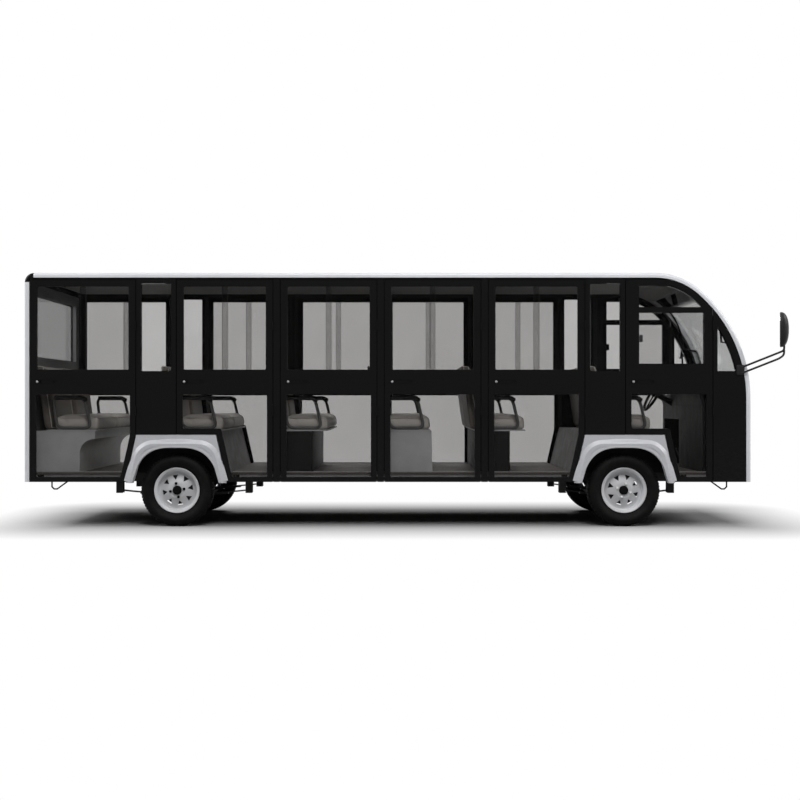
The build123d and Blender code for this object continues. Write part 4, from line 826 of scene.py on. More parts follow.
def cleaned(name: str, mesh: Mesh) -> bpy.types.Mesh:
    """Blender's mesh of the points and quads, with seams and poles closed and normals outward."""
    data = bpy.data.meshes.new(name)
    data.from_pydata(mesh.points, [], mesh.quads.tolist())
    work = bmesh.new()
    work.from_mesh(data)
    bmesh.ops.remove_doubles(work, verts=work.verts, dist=1e-6)
    bmesh.ops.dissolve_degenerate(work, dist=1e-7, edges=work.edges)
    bmesh.ops.recalc_face_normals(work, faces=work.faces)
    work.to_mesh(data)
    work.free()
    return data


def shown(data: Any) -> bpy.types.Object:
    """New object of a mesh, lamp or camera in the scene."""
    made = bpy.data.objects.new(data.name, data)
    bpy.context.scene.collection.objects.link(made)
    return made


def evaluated(made: bpy.types.Object) -> bpy.types.Object:
    """The object as its modifiers leave it."""
    return made.evaluated_get(bpy.context.evaluated_depsgraph_get())


def cut(data: bpy.types.Mesh, tool: Mesh) -> bpy.types.Mesh:
    """Mesh with the room of another closed mesh taken out of it."""
    body, away = shown(data), shown(cleaned("cutter", tool))
    holes = body.modifiers.new("holes", "BOOLEAN")
    holes.operation, holes.solver, holes.object = "DIFFERENCE", "EXACT", away
    left = bpy.data.meshes.new_from_object(evaluated(body))
    bpy.data.objects.remove(body)
    bpy.data.objects.remove(away)
    return left


def place(name: str, mesh: Mesh, finish: Finish, body: str, slot: Optional[str] = None,
          smooth: float = 40.0, tool: Optional[Mesh] = None) -> bpy.types.Object:
    """Put a mesh into the scene as a piece that rides on a body.

    Args:
        name: of the piece.
        mesh: its points and quads.
        finish: its surface.
        body: the body that it moves with.
        slot: not used.
        smooth: edges flatter than this angle in degrees are shaded smooth.
        tool: closed mesh whose room is cut out.

    Returns:
        The object.
    """
    data = cleaned(name, mesh)
    if tool is not None:
        data = cut(data, tool)
    data.set_sharp_from_angle(angle=math.radians(smooth))
    data.materials.clear()
    data.materials.append(finish.material())
    made = shown(data)
    made.name = name
    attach(made, body)
    LOG.info("%s: %d faces on %s", name, len(data.polygons), body)
    return made


@dataclass
class Studio:
    """Pale floor, soft light and the camera at the photograph's viewing angle."""

    eye: Spot = (-0.0329, -10.105, 1.024)
    lens: float = 51.3
    sensor: float = 36.0
    lift: float = 0.0025
    far_clip: float = 300.0
    floor_half: float = 60.0
    floor_color: Color = (0.34, 0.34, 0.34)
    sky: float = 0.03
    top_power: float = 250.0
    fill_power: float = 520.0
    end_power: float = 420.0
    shadow_half: Pair = (2.75, 0.70)
    shadow_reach: float = 0.95

    def build(self) -> None:
        """Make the camera, floor, world and lamps."""
        scene = bpy.context.scene
        scene.view_settings.view_transform = "Standard"
        self.camera(scene)
        self.floor()
        self.world(scene)
        for name, at, aim, size, power in (
                ("top_lamp", (0.0, 0.0, 7.0), ORIGIN, 9.0, self.top_power),
                ("right_lamp", (0.5, -6.5, 8.0), (0.0, 0.0, 0.9), 4.5, self.fill_power),
                ("left_lamp", (-0.5, 6.5, 8.0), (0.0, 0.0, 0.9), 4.5, self.fill_power),
                ("nose_lamp", (8.5, -2.0, 5.5), (2.5, 0.0, 1.2), 4.0, self.end_power),
                ("tail_lamp", (-8.5, -2.0, 5.5), (-2.8, 0.0, 1.2), 4.0, self.end_power)):
            self.lamp(name, at, aim, size, power)

    def camera(self, scene: bpy.types.Scene) -> None:
        """Level camera on the right-hand side."""
        data = bpy.data.cameras.new("camera")
        data.lens = self.lens
        data.sensor_width = self.sensor
        data.shift_y = self.lift
        data.clip_end = self.far_clip
        made = shown(data)
        made.location = self.eye
        made.rotation_euler = (math.radians(90), 0.0, 0.0)
        scene.camera = made

    def floor(self) -> None:
        """Large matt floor."""
        half = self.floor_half
        data = bpy.data.meshes.new("floor")
        corners = [(-half, -half, 0.0), (half, -half, 0.0), (half, half, 0.0), (-half, half, 0.0)]
        data.from_pydata(corners, [], [(0, 1, 2, 3)])
        recipe = Recipe(bpy.data.materials.new("studio_floor"))
        tone = recipe.blend(recipe.patches(0.8, 3.0), shade(self.floor_color, 0.98), self.floor_color)
        matt = recipe.node("ShaderNodeBsdfDiffuse", Color=tone).outputs["BSDF"]
        glow = recipe.node("ShaderNodeEmission", Strength=1.0).outputs["Emission"]
        data.materials.append(recipe.done(recipe.mixed(self.seen_white(recipe), matt, glow)))
        shown(data)

    def seen_white(self, recipe: Recipe) -> Socket:
        """White that the floor shows away from the car, so that only the shadow below and beside it stays.

        The distance from the car's footprint, a rectangle, grows from 0 to 1 over the shadow's reach.

        Args:
            recipe: the floor's tree.

        Returns:
            Share of the white, 0 under the car and 1 far from it, for seen, mirrored and refracted views.
        """
        gaps = []
        for letter, half in zip("XY", self.shadow_half):
            gap = recipe.sum("SUBTRACT", recipe.sum("ABSOLUTE", recipe.axis(letter)), half)
            gap = recipe.sum("MAXIMUM", gap, 0.0)
            gaps.append(recipe.sum("MULTIPLY", gap, gap))
        far = recipe.span(recipe.sum("SQRT", recipe.sum("ADD", *gaps)), 0.0, 1.0, 0.0, self.shadow_reach)
        return recipe.sum("MULTIPLY", far, recipe.seen_rays())

    def world(self, scene: bpy.types.Scene) -> None:
        """Even white surround; straight, mirrored and refracted views of it are plain white."""
        recipe = Recipe(bpy.data.worlds.new("studio"), "ShaderNodeOutputWorld")
        light, seen = (recipe.node("ShaderNodeBackground", Color=WHITE_LIGHT, Strength=strength)
                       for strength in (self.sky, 1.0))
        both = recipe.mixed(recipe.seen_rays(), light.outputs["Background"], seen.outputs["Background"])
        scene.world = recipe.done(both)

    def lamp(self, name: str, at: Point, aim: Point, size: float, power: float) -> None:
        """Square soft lamp of a size and a power in watts, that faces a point."""
        data = bpy.data.lights.new(name, "AREA")
        data.size = size
        data.energy = power
        made = shown(data)
        made.location = at
        toward = np.asarray(aim, float) - np.asarray(at, float)
        tip = math.atan2(math.hypot(toward[0], toward[1]), -toward[2])
        made.rotation_euler = (tip, 0.0, math.atan2(toward[1], toward[0]) - math.pi / 2)


@dataclass
class Wheels:
    """Treaded tyres, pierced steel wheels, lug nuts and hub caps."""

    track_half: float = 0.662
    radius: float = TYRE_RADIUS
    bead: Pair = (0.1685, 0.0497)
    wall_low: Pair = (0.192, 0.055)
    wall_high: float = 0.1035
    bulge: float = 0.030
    tread_half: float = 0.048
    groove_depth: float = 0.007
    groove_half: float = 0.0034
    grooves: Tuple[float, ...] = (-0.031, -0.0105, 0.0105, 0.031)
    waves: int = 36
    around: int = 288
    lug_circle: float = 0.057
    hole_circle: float = 0.1115
    hole_reach: float = 0.0275
    hole_corner: float = 0.0045
    hole_deep: Pair = (-0.020, 0.055)
    front_start: float = 18.0
    rear_start: float = -10.0
    cap_radius: float = 0.0375

    def build(self) -> None:
        """Place four tyres, rims, sets of nuts and caps."""
        for wheel in WheelPlace:
            turn, body = wheel.side.value, f"wheel_{wheel.value}"
            centre = (wheel.axle_x, turn * self.track_half, self.radius)
            start = math.radians(self.front_start if wheel.front else self.rear_start)
            tyre = place(f"tread_{wheel.value}", self.tyre(centre), Finishes.TYRE, body, "tyre_black")
            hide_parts(f"tyre_{wheel.value}")
            rim = place(f"disc_{wheel.value}", self.rim(centre, turn), Finishes.RIM, body, "rim_white", 28.0,
                        self.holes(centre, turn, start))
            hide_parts(f"rim_{wheel.value}")
            nuts = Finishes.ZINC if wheel.front else Finishes.HUB
            place(f"lug_nuts_{wheel.value}", self.nuts(centre, turn, start), nuts, body, None, 25.0)
            carrier = f"knuckle_{wheel.side.word}" if wheel.front else ROOT
            place(f"hub_cap_{wheel.value}", self.cap(centre, turn), Finishes.HUB, carrier)

    def rim(self, centre: Point, turn: int) -> Mesh:
        """Rim and dished disc in one: their section, radius by distance out, is turned about the axle.

        Args:
            centre: middle of the wheel.
            turn: sign of the side.

        Returns:
            The closed mesh.
        """
        front = [(0.0340, 0.0400), (0.0640, 0.0400), (0.0690, 0.0388), (0.0840, 0.0300), (0.1360, 0.0066),
                 (0.1440, 0.0040), (0.1530, 0.0052), (0.1592, 0.0120), (0.1602, 0.0420), (0.1625, 0.0500),
                 (0.1700, 0.0560), (0.1800, 0.0612), (0.1845, 0.0622), (0.1868, 0.0605), (0.1868, 0.0570),
                 (0.1840, 0.0535), (0.1740, 0.0508), (0.1682, 0.0480)]
        edge = [(radius, -out) for radius, out in front[:8:-1]]
        back = [(0.1600, -0.0420), (0.1598, -0.0060), (0.1540, -0.0020), (0.1360, 0.0016), (0.0840, 0.0252),
                (0.0640, 0.0350), (0.0340, 0.0350)]
        return lathe(front + edge + back, centre, "Y", 144, turn)

    def holes(self, centre: Point, turn: int, start: float) -> Mesh:
        """Eight round-cornered triangles with their points to the hub, drawn out along the axle.

        Args:
            centre: middle of the wheel.
            turn: sign of the side.
            start: angle of the first hole from the top, toward the nose.

        Returns:
            The closed prisms.
        """
        triangle = circle(np.radians([-90.0, 30.0, 150.0]), self.hole_reach)
        shape = rounded_polygon(triangle, self.hole_corner, 5)
        out = turn * np.array(self.hole_deep)
        up = self.hole_circle + shape[:, 1]
        parts = []
        for angle in start + np.arange(8) * np.pi / 4:
            x = up * math.sin(angle) + shape[:, 0] * math.cos(angle)
            z = up * math.cos(angle) - shape[:, 0] * math.sin(angle)
            parts.append(skin(xyz(x[None], out[:, None], z[None]) + np.asarray(centre)))
        return Mesh.joined(parts)

    def tyre(self, centre: Point) -> Mesh:
        """Tyre as a profile turned about the axle, with the tread cut into it.

        The side wall leaves the bead at 192 mm and swells by a sine of the height, with two raised lines; the
        crown is a shallow parabola. Each groove lowers the crown near a line that waves along the tread, and
        the shoulder is notched by a wave round the wheel.

        Args:
            centre: middle of the wheel.

        Returns:
            The closed mesh.
        """
        height = np.linspace(0.0, 1.0, 26)
        wall_r = self.wall_low[0] + self.wall_high * height
        wall = self.wall_low[1] * (1 - height) + self.tread_half * height
        wall = wall + self.bulge * np.sin(np.pi * height ** 1.15)
        for raised, line, width in ((0.0016, 0.203, 0.003), (0.0018, 0.281, 0.002)):
            wall = wall + raised * np.exp(-((wall_r - line) / width) ** 2)
        crown = np.linspace(self.tread_half, -self.tread_half, 46)[1:-1]
        crown_r = self.radius - 0.0016 * (crown / self.tread_half) ** 2
        out = np.concatenate([[self.bead[1]], wall, crown, -wall[::-1], [-self.bead[1]]])
        radius = np.concatenate([[self.bead[0]], wall_r, crown_r, wall_r[::-1], [self.bead[0]]])
        turn = turns(self.around)[:, None]
        depth = np.zeros((self.around, len(out)))
        for index, line in enumerate(self.grooves):
            swing = 0.0022 * np.sin(self.waves * turn + index * np.pi)
            gap = np.abs(out[None] - line - swing)
            groove = np.clip((self.groove_half * 1.5 - gap) / (self.groove_half * 0.8), 0, 1)
            depth = np.maximum(depth, groove)
        shoulder = np.clip((np.abs(out[None]) - 0.036) / 0.003, 0, 1) * (radius[None] > 0.286)
        depth = np.maximum(depth, shoulder * (np.sin(self.waves * 2 * turn) > 0.45))
        reach = radius[None] - depth * (radius[None] > 0.284) * self.groove_depth
        return skin(xyz(reach * np.sin(turn), out[None], reach * np.cos(turn)) + np.asarray(centre), True)

    def nuts(self, centre: Point, turn: int, start: float) -> Mesh:
        """Four six-sided nuts with a chamfered crown, each a profile turned in six steps."""
        profile = [(0.0, 0.037), (0.0125, 0.037), (0.0125, 0.0465), (0.0105, 0.050), (0.006, 0.0515),
                   (0.0, 0.0518)]
        parts = []
        for angle in start + np.arange(4) * np.pi / 2:
            spot = np.array([self.lug_circle * math.sin(angle), 0.0, self.lug_circle * math.cos(angle)])
            parts.append(lathe(profile, np.asarray(centre) + spot, "Y", 6, turn))
        return Mesh.joined(parts)

    def cap(self, centre: Point, turn: int) -> Mesh:
        """Domed cap over the hub: a quarter ellipse turned about the axle."""
        curve = np.linspace(0, np.pi / 2, 10)
        dome = xyz(self.cap_radius * np.cos(curve) ** 0.6, 0.050 + 0.008 * np.sin(curve))
        profile = np.concatenate([[(0.0, 0.0412), (self.cap_radius, 0.0412)], dome])
        return lathe(profile, centre, "Y", 40, turn)


@dataclass
class Seats:
    """Six rows of paired cushions and backs, blown up by cloth simulation, with piped edges."""

    depth: float = 0.385
    inner: float = 0.006
    outer: float = 0.650
    plate: float = 0.795
    thick: float = 0.110
    back_high: float = 0.550
    back_thick: float = 0.080
    lean: float = 0.14054
    inset: float = 0.006
    end_step: float = 0.016
    end_share: float = 0.90
    held_low: float = 0.012
    held_back: float = -0.066
    seam_in: float = 0.010
    seam_corner: float = 0.030
    voxel: float = 0.017
    frames: int = 20
    pressure: float = 4.0
    cap: float = 0.022
    pipe: float = 0.0042

    def build(self) -> None:
        """Make one cushion and one back, then copy them to all places."""
        width = self.outer - self.inner
        cushion = self.padded_shape("cushion_form", ORIGIN, (self.depth, width, self.thick), 0.030)
        seat = self.blown(cushion, lambda at: at[:, 2] < self.held_low, ORIGIN,
                          (self.depth + 0.010, width, self.thick + 0.014))
        form = self.padded_shape("back_form", (-self.back_thick, 0.0, 0.0), (0.0, width, self.back_high),
                                 0.028)
        back = self.blown(form, lambda at: (at[:, 2] < self.held_low) | (at[:, 0] < self.held_back),
                          (-self.back_thick - 0.004, 0.0, 0.0), (0.014, width, self.back_high + 0.010))
        start, end = (self.seam_in, self.seam_in), width - self.seam_in
        top = rounded_rectangle(start, (self.depth - self.inset, end), self.seam_corner, 8)
        seat_seam = self.seam(seat, xyz(top[:, 0], top[:, 1], self.thick - 0.004))
        face = rounded_rectangle(start, (end, self.back_high - self.inset), self.seam_corner, 8)
        back_seam = self.seam(back, xyz(-0.002, face[:, 0], face[:, 1]))
        for row, front in enumerate(SEAT_ROWS, 1):
            for side in Side:
                y = self.inner if side is Side.LEFT else -self.outer
                spot = np.array([drawn(front) - self.depth, y, self.plate])
                name = f"row{row}_{side.word}"
                leaned = Mesh(self.leaned(back.points), back.quads)
                self.copy(f"cushion_{name}", seat, spot, Finishes.CUSHION, "seat_cushions")
                self.copy(f"backrest_{name}", leaned, spot, Finishes.BACK, "seat_backs")
                pipes = Mesh.joined([self.piping(seat_seam), self.piping(self.leaned(back_seam))])
                place(f"piping_{name}", pipes.moved(spot), Finishes.PIPING, ROOT, "seat_leather")

    def padded_shape(self, name: str, low: Point, high: Point, edge: float) -> bpy.types.Object:
        """Slightly small pad to blow up: a rounded rectangle of X and Z carried along Y, smaller at the ends.

        Args:
            name: of the working object.
            low: lowest corner of the finished pad.
            high: highest corner.
            edge: radius of the edges.

        Returns:
            The working object, remeshed evenly.
        """
        inset, step = self.inset, self.end_step
        outline = rounded_rectangle((low[0] + inset, low[2]), (high[0] - inset, high[2] - inset), edge, 6)
        middle = outline.mean(axis=0)
        stations = np.array([low[1] + inset, low[1] + inset + step, high[1] - inset - step, high[1] - inset])
        share = np.array([self.end_share, 1.0, 1.0, self.end_share])[:, None, None]
        rows = middle + (outline - middle)[None] * share
        rows[..., 1] = np.maximum(rows[..., 1], low[2])
        made = shown(cleaned(name, skin(xyz(rows[..., 0], stations[:, None], rows[..., 1]))))
        even = made.modifiers.new("even", "REMESH")
        even.mode = "VOXEL"
        even.voxel_size = self.voxel
        shaped = bpy.data.meshes.new_from_object(evaluated(made))
        made.modifiers.clear()
        made.data = shaped
        return made

    def blown(self, form: bpy.types.Object, held: Callable[[Array], Array], low: Point, high: Point) -> Mesh:
        """Inflate a pad by cloth simulation, with its movement capped and its neighbours' room kept free.

        Args:
            form: the working object, removed afterwards.
            held: picks the points that stay, from their places.
            low: lowest corner that the pad may reach.
            high: highest corner.

        Returns:
            The swollen mesh.
        """
        start = self.points(form.data)
        group = form.vertex_groups.new(name="held")
        group.add(np.flatnonzero(held(start)).tolist(), 1.0, "REPLACE")
        cloth = form.modifiers.new("cloth", "CLOTH")
        cloth.settings.use_pressure = True
        cloth.settings.uniform_pressure_force = self.pressure
        cloth.settings.effector_weights.gravity = 0.0
        cloth.settings.vertex_group_mass = "held"
        cloth.point_cache.frame_start = 1
        cloth.point_cache.frame_end = self.frames
        scene = bpy.context.scene
        for count in range(1, self.frames + 1):
            scene.frame_set(count)
        move = self.points(evaluated(form).data) - start
        scene.frame_set(1)
        length = np.linalg.norm(move, axis=1, keepdims=True)
        start = start + move * np.minimum(1.0, self.cap / np.maximum(length, 1e-9))
        LOG.info("%s swelled by %.1f mm at most", form.name, 1000 * min(self.cap, float(length.max())))
        faces = np.zeros(len(form.data.loops), int)
        form.data.loops.foreach_get("vertex_index", faces)
        bpy.data.objects.remove(form)
        return Mesh(np.clip(start, np.asarray(low), np.asarray(high)), faces.reshape(-1, 4))

    @staticmethod
    def points(data: bpy.types.Mesh) -> Array:
        """Places of a mesh's points."""
        flat = np.zeros(len(data.vertices) * 3)
        data.vertices.foreach_get("co", flat)
        return flat.reshape(-1, 3)

    def leaned(self, points: Array) -> Array:
        """Points of a back tipped backward: X goes back with the height."""
        return points - xyz(points[:, 2] * self.lean, 0.0, 0.0)

    @staticmethod
    def seam(mesh: Mesh, path: Array) -> Array:
        """Path laid onto a pad: each point goes to the mean of the pad's points, weighted by nearness."""
        gap = np.linalg.norm(path[:, None] - mesh.points[None], axis=2)
        gap = gap - gap.min(axis=1, keepdims=True)
        weight = np.exp(-(gap / 0.010) ** 2)
        return weight @ mesh.points / weight.sum(axis=1, keepdims=True)

    def piping(self, path: Array) -> Mesh:
        """Round cord sewn along a closed seam."""
        return sweep(path, ring(self.pipe, 8), (0.31, 0.23, 0.92), True)

    def copy(self, name: str, mesh: Mesh, spot: Array, finish: Finish, node: str) -> None:
        """Place one pad and let it stand for its CAD solid.

        Args:
            name: of the piece.
            mesh: the pad at the origin.
            spot: where it goes.
            finish: its leather.
            node: the CAD node that it replaces.
        """
        made = place(name, mesh.moved(spot), finish, ROOT, "seat_leather", 80.0)
        even = made.modifiers.new("even", "SUBSURF")
        even.levels = even.render_levels = 1
        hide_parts(node)


@dataclass
class Armrests:
    """Bent tube loops beside the cushions, each with a padded bar on top."""

    y: float = 0.682
    low: float = 0.8083
    top: float = 1.060
    rear_in: Pair = (0.045, 0.012)
    front_in: Pair = (0.059, 0.118)
    tube: float = 0.013
    bend: float = 0.060
    pad: float = 0.0235
    pad_in: Pair = (0.020, 0.094)
    pad_end: float = 0.016
    droop: float = 0.030

    def build(self) -> None:
        """Place one loop and one pad at each seat."""
        for row, front in enumerate(SEAT_ROWS, 1):
            ahead = drawn(front)
            rear = ahead - Seats.depth
            corners = np.array([(rear + self.rear_in[0], self.low), (rear + self.rear_in[1], self.top),
                                (ahead - self.front_in[1], self.top), (ahead - self.front_in[0], self.low)])
            outline = rounded_polygon(corners, self.bend, 8)
            for side in Side:
                y, name = side.value * self.y, f"row{row}_{side.word}"
                loop = sweep(on_side(outline, y), ring(self.tube, 14), ACROSS, True)
                made = place(f"arm_loop_{name}", loop, Finishes.TUBE, ROOT, "tube_black")
                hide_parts("armrests")
                bar = self.padded_bar(rear, ahead, y)
                soft = place(f"arm_pad_{name}", bar, Finishes.PAD, ROOT, "tube_black")
                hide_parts("armrests")

    def padded_bar(self, rear: float, ahead: float, y: float) -> Mesh:
        """Foam bar: an ellipse along the tube's top that swells from its ends and droops over the front bend.

        Args:
            rear: X of the cushion's rear edge.
            ahead: X of its front edge.
            y: of the loop.

        Returns:
            The capped mesh.
        """
        share = np.linspace(0, 1, 40)
        x = rear + self.pad_in[0] + share * (ahead - self.pad_in[1] - rear - self.pad_in[0])
        droop = self.droop * np.clip((share - 0.78) / 0.22, 0, 1) ** 2
        path = xyz(x, y, self.top - droop)
        ends = np.minimum(share, 1 - share) * (ahead - rear)
        swell = np.clip(1 - (1 - np.clip(ends / self.pad_end, 0, 1)) ** 2, 0.02, 1)
        return tapered(path, self.pad * np.sqrt(swell), 20, 0.85)


@dataclass
class Pedestals:
    """Ridged dark cladding round the narrow seat bases of the third and fifth row."""

    fronts: Pair = (-0.774, 0.858)
    deep: float = 0.265
    half: float = 0.690
    low: float = 0.447
    high: float = 0.783
    ridges: int = 28

    def build(self) -> None:
        """Wrap both bases."""
        for row, front in zip((3, 5), self.fronts):
            sheet = self.cladding(drawn(front))
            place(f"pedestal_cladding_row{row}", sheet, Finishes.PEDESTAL, ROOT, "base_grey", 30.0)

    def cladding(self, front: float) -> Mesh:
        """Sheet round the base: its plan carries an upright profile whose outer side is a raised sine."""
        height = np.linspace(self.low, self.high, self.ridges * 6)
        phase = np.pi * self.ridges * (height - self.low) / (self.high - self.low)
        outer = xyz(0.0018 + 0.0012 * np.abs(np.sin(phase)), height)
        inner = [(0.0004, self.high), (0.0004, self.low)]
        plan = rounded_rectangle((front - self.deep, -self.half), (front, self.half), 0.004, 4)
        return sweep(xyz(plan[:, 0], plan[:, 1], 0.0), np.concatenate([outer, inner]), (0, 0, 1), True)


@dataclass(frozen=True)
class DoorSpan:
    """One door between its seams, and the axle whose fender cuts a slope from its lower window."""

    rear: float
    front: float
    axle: Optional[float] = None


DOOR_SPANS: Dict[DoorPlace, DoorSpan] = {
    DoorPlace.REAR: DoorSpan(-3.086, -2.214, REAR_AXLE),
    DoorPlace.SECOND: DoorSpan(-1.882, -1.089, REAR_AXLE),
    DoorPlace.THIRD: DoorSpan(-1.029, -0.236),
    DoorPlace.FOURTH: DoorSpan(-0.176, 0.617),
    DoorPlace.FIFTH: DoorSpan(0.677, 1.470, FRONT_AXLE),
    DoorPlace.DRIVER: DoorSpan(1.803, 2.520, FRONT_AXLE),
}


@dataclass
class DoorTrim:
    """Window seals, pane edges, knobs and latches of the doors, and the flaps behind their seams."""

    seam: float = 0.003
    upper_in: float = 0.054
    upper_z: Pair = (1.287, 1.975)
    lower_in: float = 0.044
    lower_z: Pair = (0.405, 1.090)
    cut_half: float = 0.365
    cut_top: float = 0.803
    slope: float = 0.22335
    seal_y: float = 0.7435
    seal: Pair = (0.0016, 0.0075)
    lap: float = 0.0225
    knob_x: float = 0.062
    knob_z: float = 1.190
    flap_y: Pair = (0.706, 0.712)
    flap_z: Pair = (0.430, 2.020)
    flap_half: float = 0.016
    wheel_flap_low: float = 0.700
    nose_flap_top: float = 1.735
    top_flap_z: float = 2.032
    top_flap_x: Pair = (-3.080, 1.803)
    brow: Spot = (2.047, 1.512, 0.520)
    latch: Pair = (1.931, 1.545)
    latch_y: Pair = (0.744, 0.758)
    latch_half: Pair = (0.014, 0.030)

    def build(self) -> None:
        """Trim the twelve doors and their seams."""
        for side in Side:
            place(f"seam_flaps_{side.word}", self.seam_flaps(side), Finishes.RUBBER, ROOT)
        for door, span in DOOR_SPANS.items():
            low, high = drawn(span.rear) + self.seam, drawn(span.front) - self.seam
            for side in Side:
                name = f"{door.value}_{side.word}"
                seals = [self.seal_round(self.lower(low, high, span), side)]
                if door is not DoorPlace.DRIVER:
                    seals.append(self.seal_round(self.upper(low, high), side))
                    seals.extend(self.pane_edges((low + high) / 2, side))
                place(f"window_seals_{name}", Mesh.joined(seals), Finishes.RUBBER, f"door_{name}")
                place(f"knob_{name}", self.knob(low + self.knob_x, side), Finishes.KNOB, f"door_{name}")
        x, z = drawn(self.latch[0]), self.latch[1]
        wide, tall = self.latch_half
        bar = box_bar((x - wide, self.latch_y[0], z - tall), (x + wide, self.latch_y[1], z + tall), 0.005)
        for side in Side:
            place(f"window_latch_{side.word}", bar.on(side), Finishes.BLACK_PLASTIC,
                  f"door_driver_{side.word}")

    def top_flap(self, side: Side) -> Mesh:
        """Rubber flap behind the seam over the doors: a flat strip that ends in the driver's door's arc."""
        turn = np.radians(np.linspace(90, 34, 24))
        x, z, radius = self.brow
        arc = circle(turn, radius) + np.array([drawn(x), z])
        path = np.concatenate([[(drawn(end), self.top_flap_z) for end in self.top_flap_x], arc])
        strip = rounded_rectangle((-0.015, -0.003), (0.015, 0.003), 0.001, 3)
        return sweep(on_side(path, side.value * sum(self.flap_y) / 2), strip, ACROSS, False)

    def seam_flaps(self, side: Side) -> Mesh:
        """Rubber flaps behind the doors' seams, each a flat strip with rounded edges."""
        parts = [self.top_flap(side)]
        for door, span in DOOR_SPANS.items():
            for x in (span.rear, span.front):
                flap = rounded_rectangle((drawn(x) - self.flap_half, self.flap_y[0]),
                                         (drawn(x) + self.flap_half, self.flap_y[1]), 0.002, 3)
                nose = door is DoorPlace.DRIVER and x == span.front
                over_wheel = span.axle is not None and abs(x - span.axle) < self.cut_half
                low = self.wheel_flap_low if over_wheel else self.flap_z[0]
                heights = np.linspace(low, self.nose_flap_top if nose else self.flap_z[1], 8)
                rows = np.broadcast_to(flap[None], (8,) + flap.shape) * np.array([1.0, side.value])
                parts.append(skin(np.roll(stationed(heights, rows), -1, axis=2)))
        return Mesh.joined(parts)

    def upper(self, low: float, high: float) -> Array:
        """Outline of the upper window, just inside its edge."""
        edge = self.seal[0]
        inset = self.upper_in + edge
        ends = (low + inset, self.upper_z[0] + edge), (high - inset, self.upper_z[1] - edge)
        return rounded_rectangle(*ends, 0.011)

    def lower(self, low: float, high: float, span: DoorSpan) -> Array:
        """Outline of the lower window, with the corner over a wheel cut off along the fender.

        Args:
            low: X of the leaf's rear edge.
            high: X of its front edge.
            span: the door.

        Returns:
            Rows of X and Z, once round.
        """
        edge = self.seal[0]
        inset = self.lower_in + edge
        left, right = low + inset, high - inset
        bottom, top = self.lower_z[0] + edge, self.lower_z[1] - edge
        corners = [(left, bottom), (right, bottom), (right, top), (left, top)]
        if span.axle is not None:
            axle, half = drawn(span.axle), self.cut_half + edge
            foot = half + (self.cut_top - bottom) * self.slope
            if axle > (left + right) / 2:
                meet = self.cut_top - (axle - half - right) / self.slope
                corners[1:2] = [(axle - foot, bottom), (right, meet)]
            else:
                over = self.cut_top + edge
                corners = [(axle + foot, bottom), *corners[1:], (left, over), (axle + half, over)]
        return rounded_polygon(np.array(corners), 0.016)

    def seal_round(self, outline: Array, side: Side) -> Mesh:
        """Rubber strip round a window: a small rectangle carried along the outline."""
        half, deep = self.seal
        profile = rounded_rectangle((-half, -deep), (half, deep), half / 2, 3)
        return sweep(on_side(outline, side.value * self.seal_y), profile, ACROSS, True)

    def pane_edges(self, middle: float, side: Side) -> List[Mesh]:
        """Edge strips of the two sliding panes where they lap."""
        made = []
        profile = rounded_rectangle((-0.0004, -0.0035), (0.0004, 0.0035), 0.0003, 3)
        for x, y, half in ((middle + self.lap, 0.742, 0.0028), (middle - self.lap, 0.734, 0.0016)):
            outline = rounded_rectangle((x - half, self.upper_z[0]), (x + half, self.upper_z[1]), 0.001, 3)
            made.append(sweep(on_side(outline, side.value * y), profile, ACROSS, True))
        return made

    def knob(self, x: float, side: Side) -> Mesh:
        """Metal knob: a low dome with a grooved rim, turned about Y."""
        profile = [(0.0, 0.752), (0.0112, 0.752), (0.0112, 0.757), (0.0100, 0.7585), (0.0100, 0.760),
                   (0.0107, 0.7615), (0.0097, 0.7645), (0.0065, 0.7665), (0.0033, 0.7674), (0.0, 0.7677)]
        return lathe(profile, (x, 0.0, self.knob_z), "Y", 28, side.value)


@dataclass
class Sills:
    """Ribbed grey strips along the floor's edge behind the lower windows."""

    spans: Tuple[Pair, ...] = ((-3.080, -2.335), (-1.440, 1.355), (2.245, 2.690))
    y: float = 0.7105
    low: float = 0.403
    high: float = 0.452
    half: float = 0.0012
    rib: Pair = (0.0006, 0.006)

    def build(self) -> None:
        """Place a strip on each stretch of both sides."""
        height = np.linspace(self.low, self.high, 40)
        outer = xyz(height, self.half + self.rib[0] * np.cos(height * 2 * np.pi / self.rib[1]))
        profile = np.concatenate([outer, [(self.high, -self.half), (self.low, -self.half)]])
        for count, (start, end) in enumerate(self.spans, 1):
            stations = np.linspace(drawn(start), drawn(end), 12)
            for side in Side:
                across = side.value * (self.y + profile[:, 1])
                strip = skin(xyz(stations[:, None], across[None], profile[None, :, 0]))
                place(f"sill_strip_{count}_{side.word}", strip, Finishes.SILL, ROOT, "trim_grey")


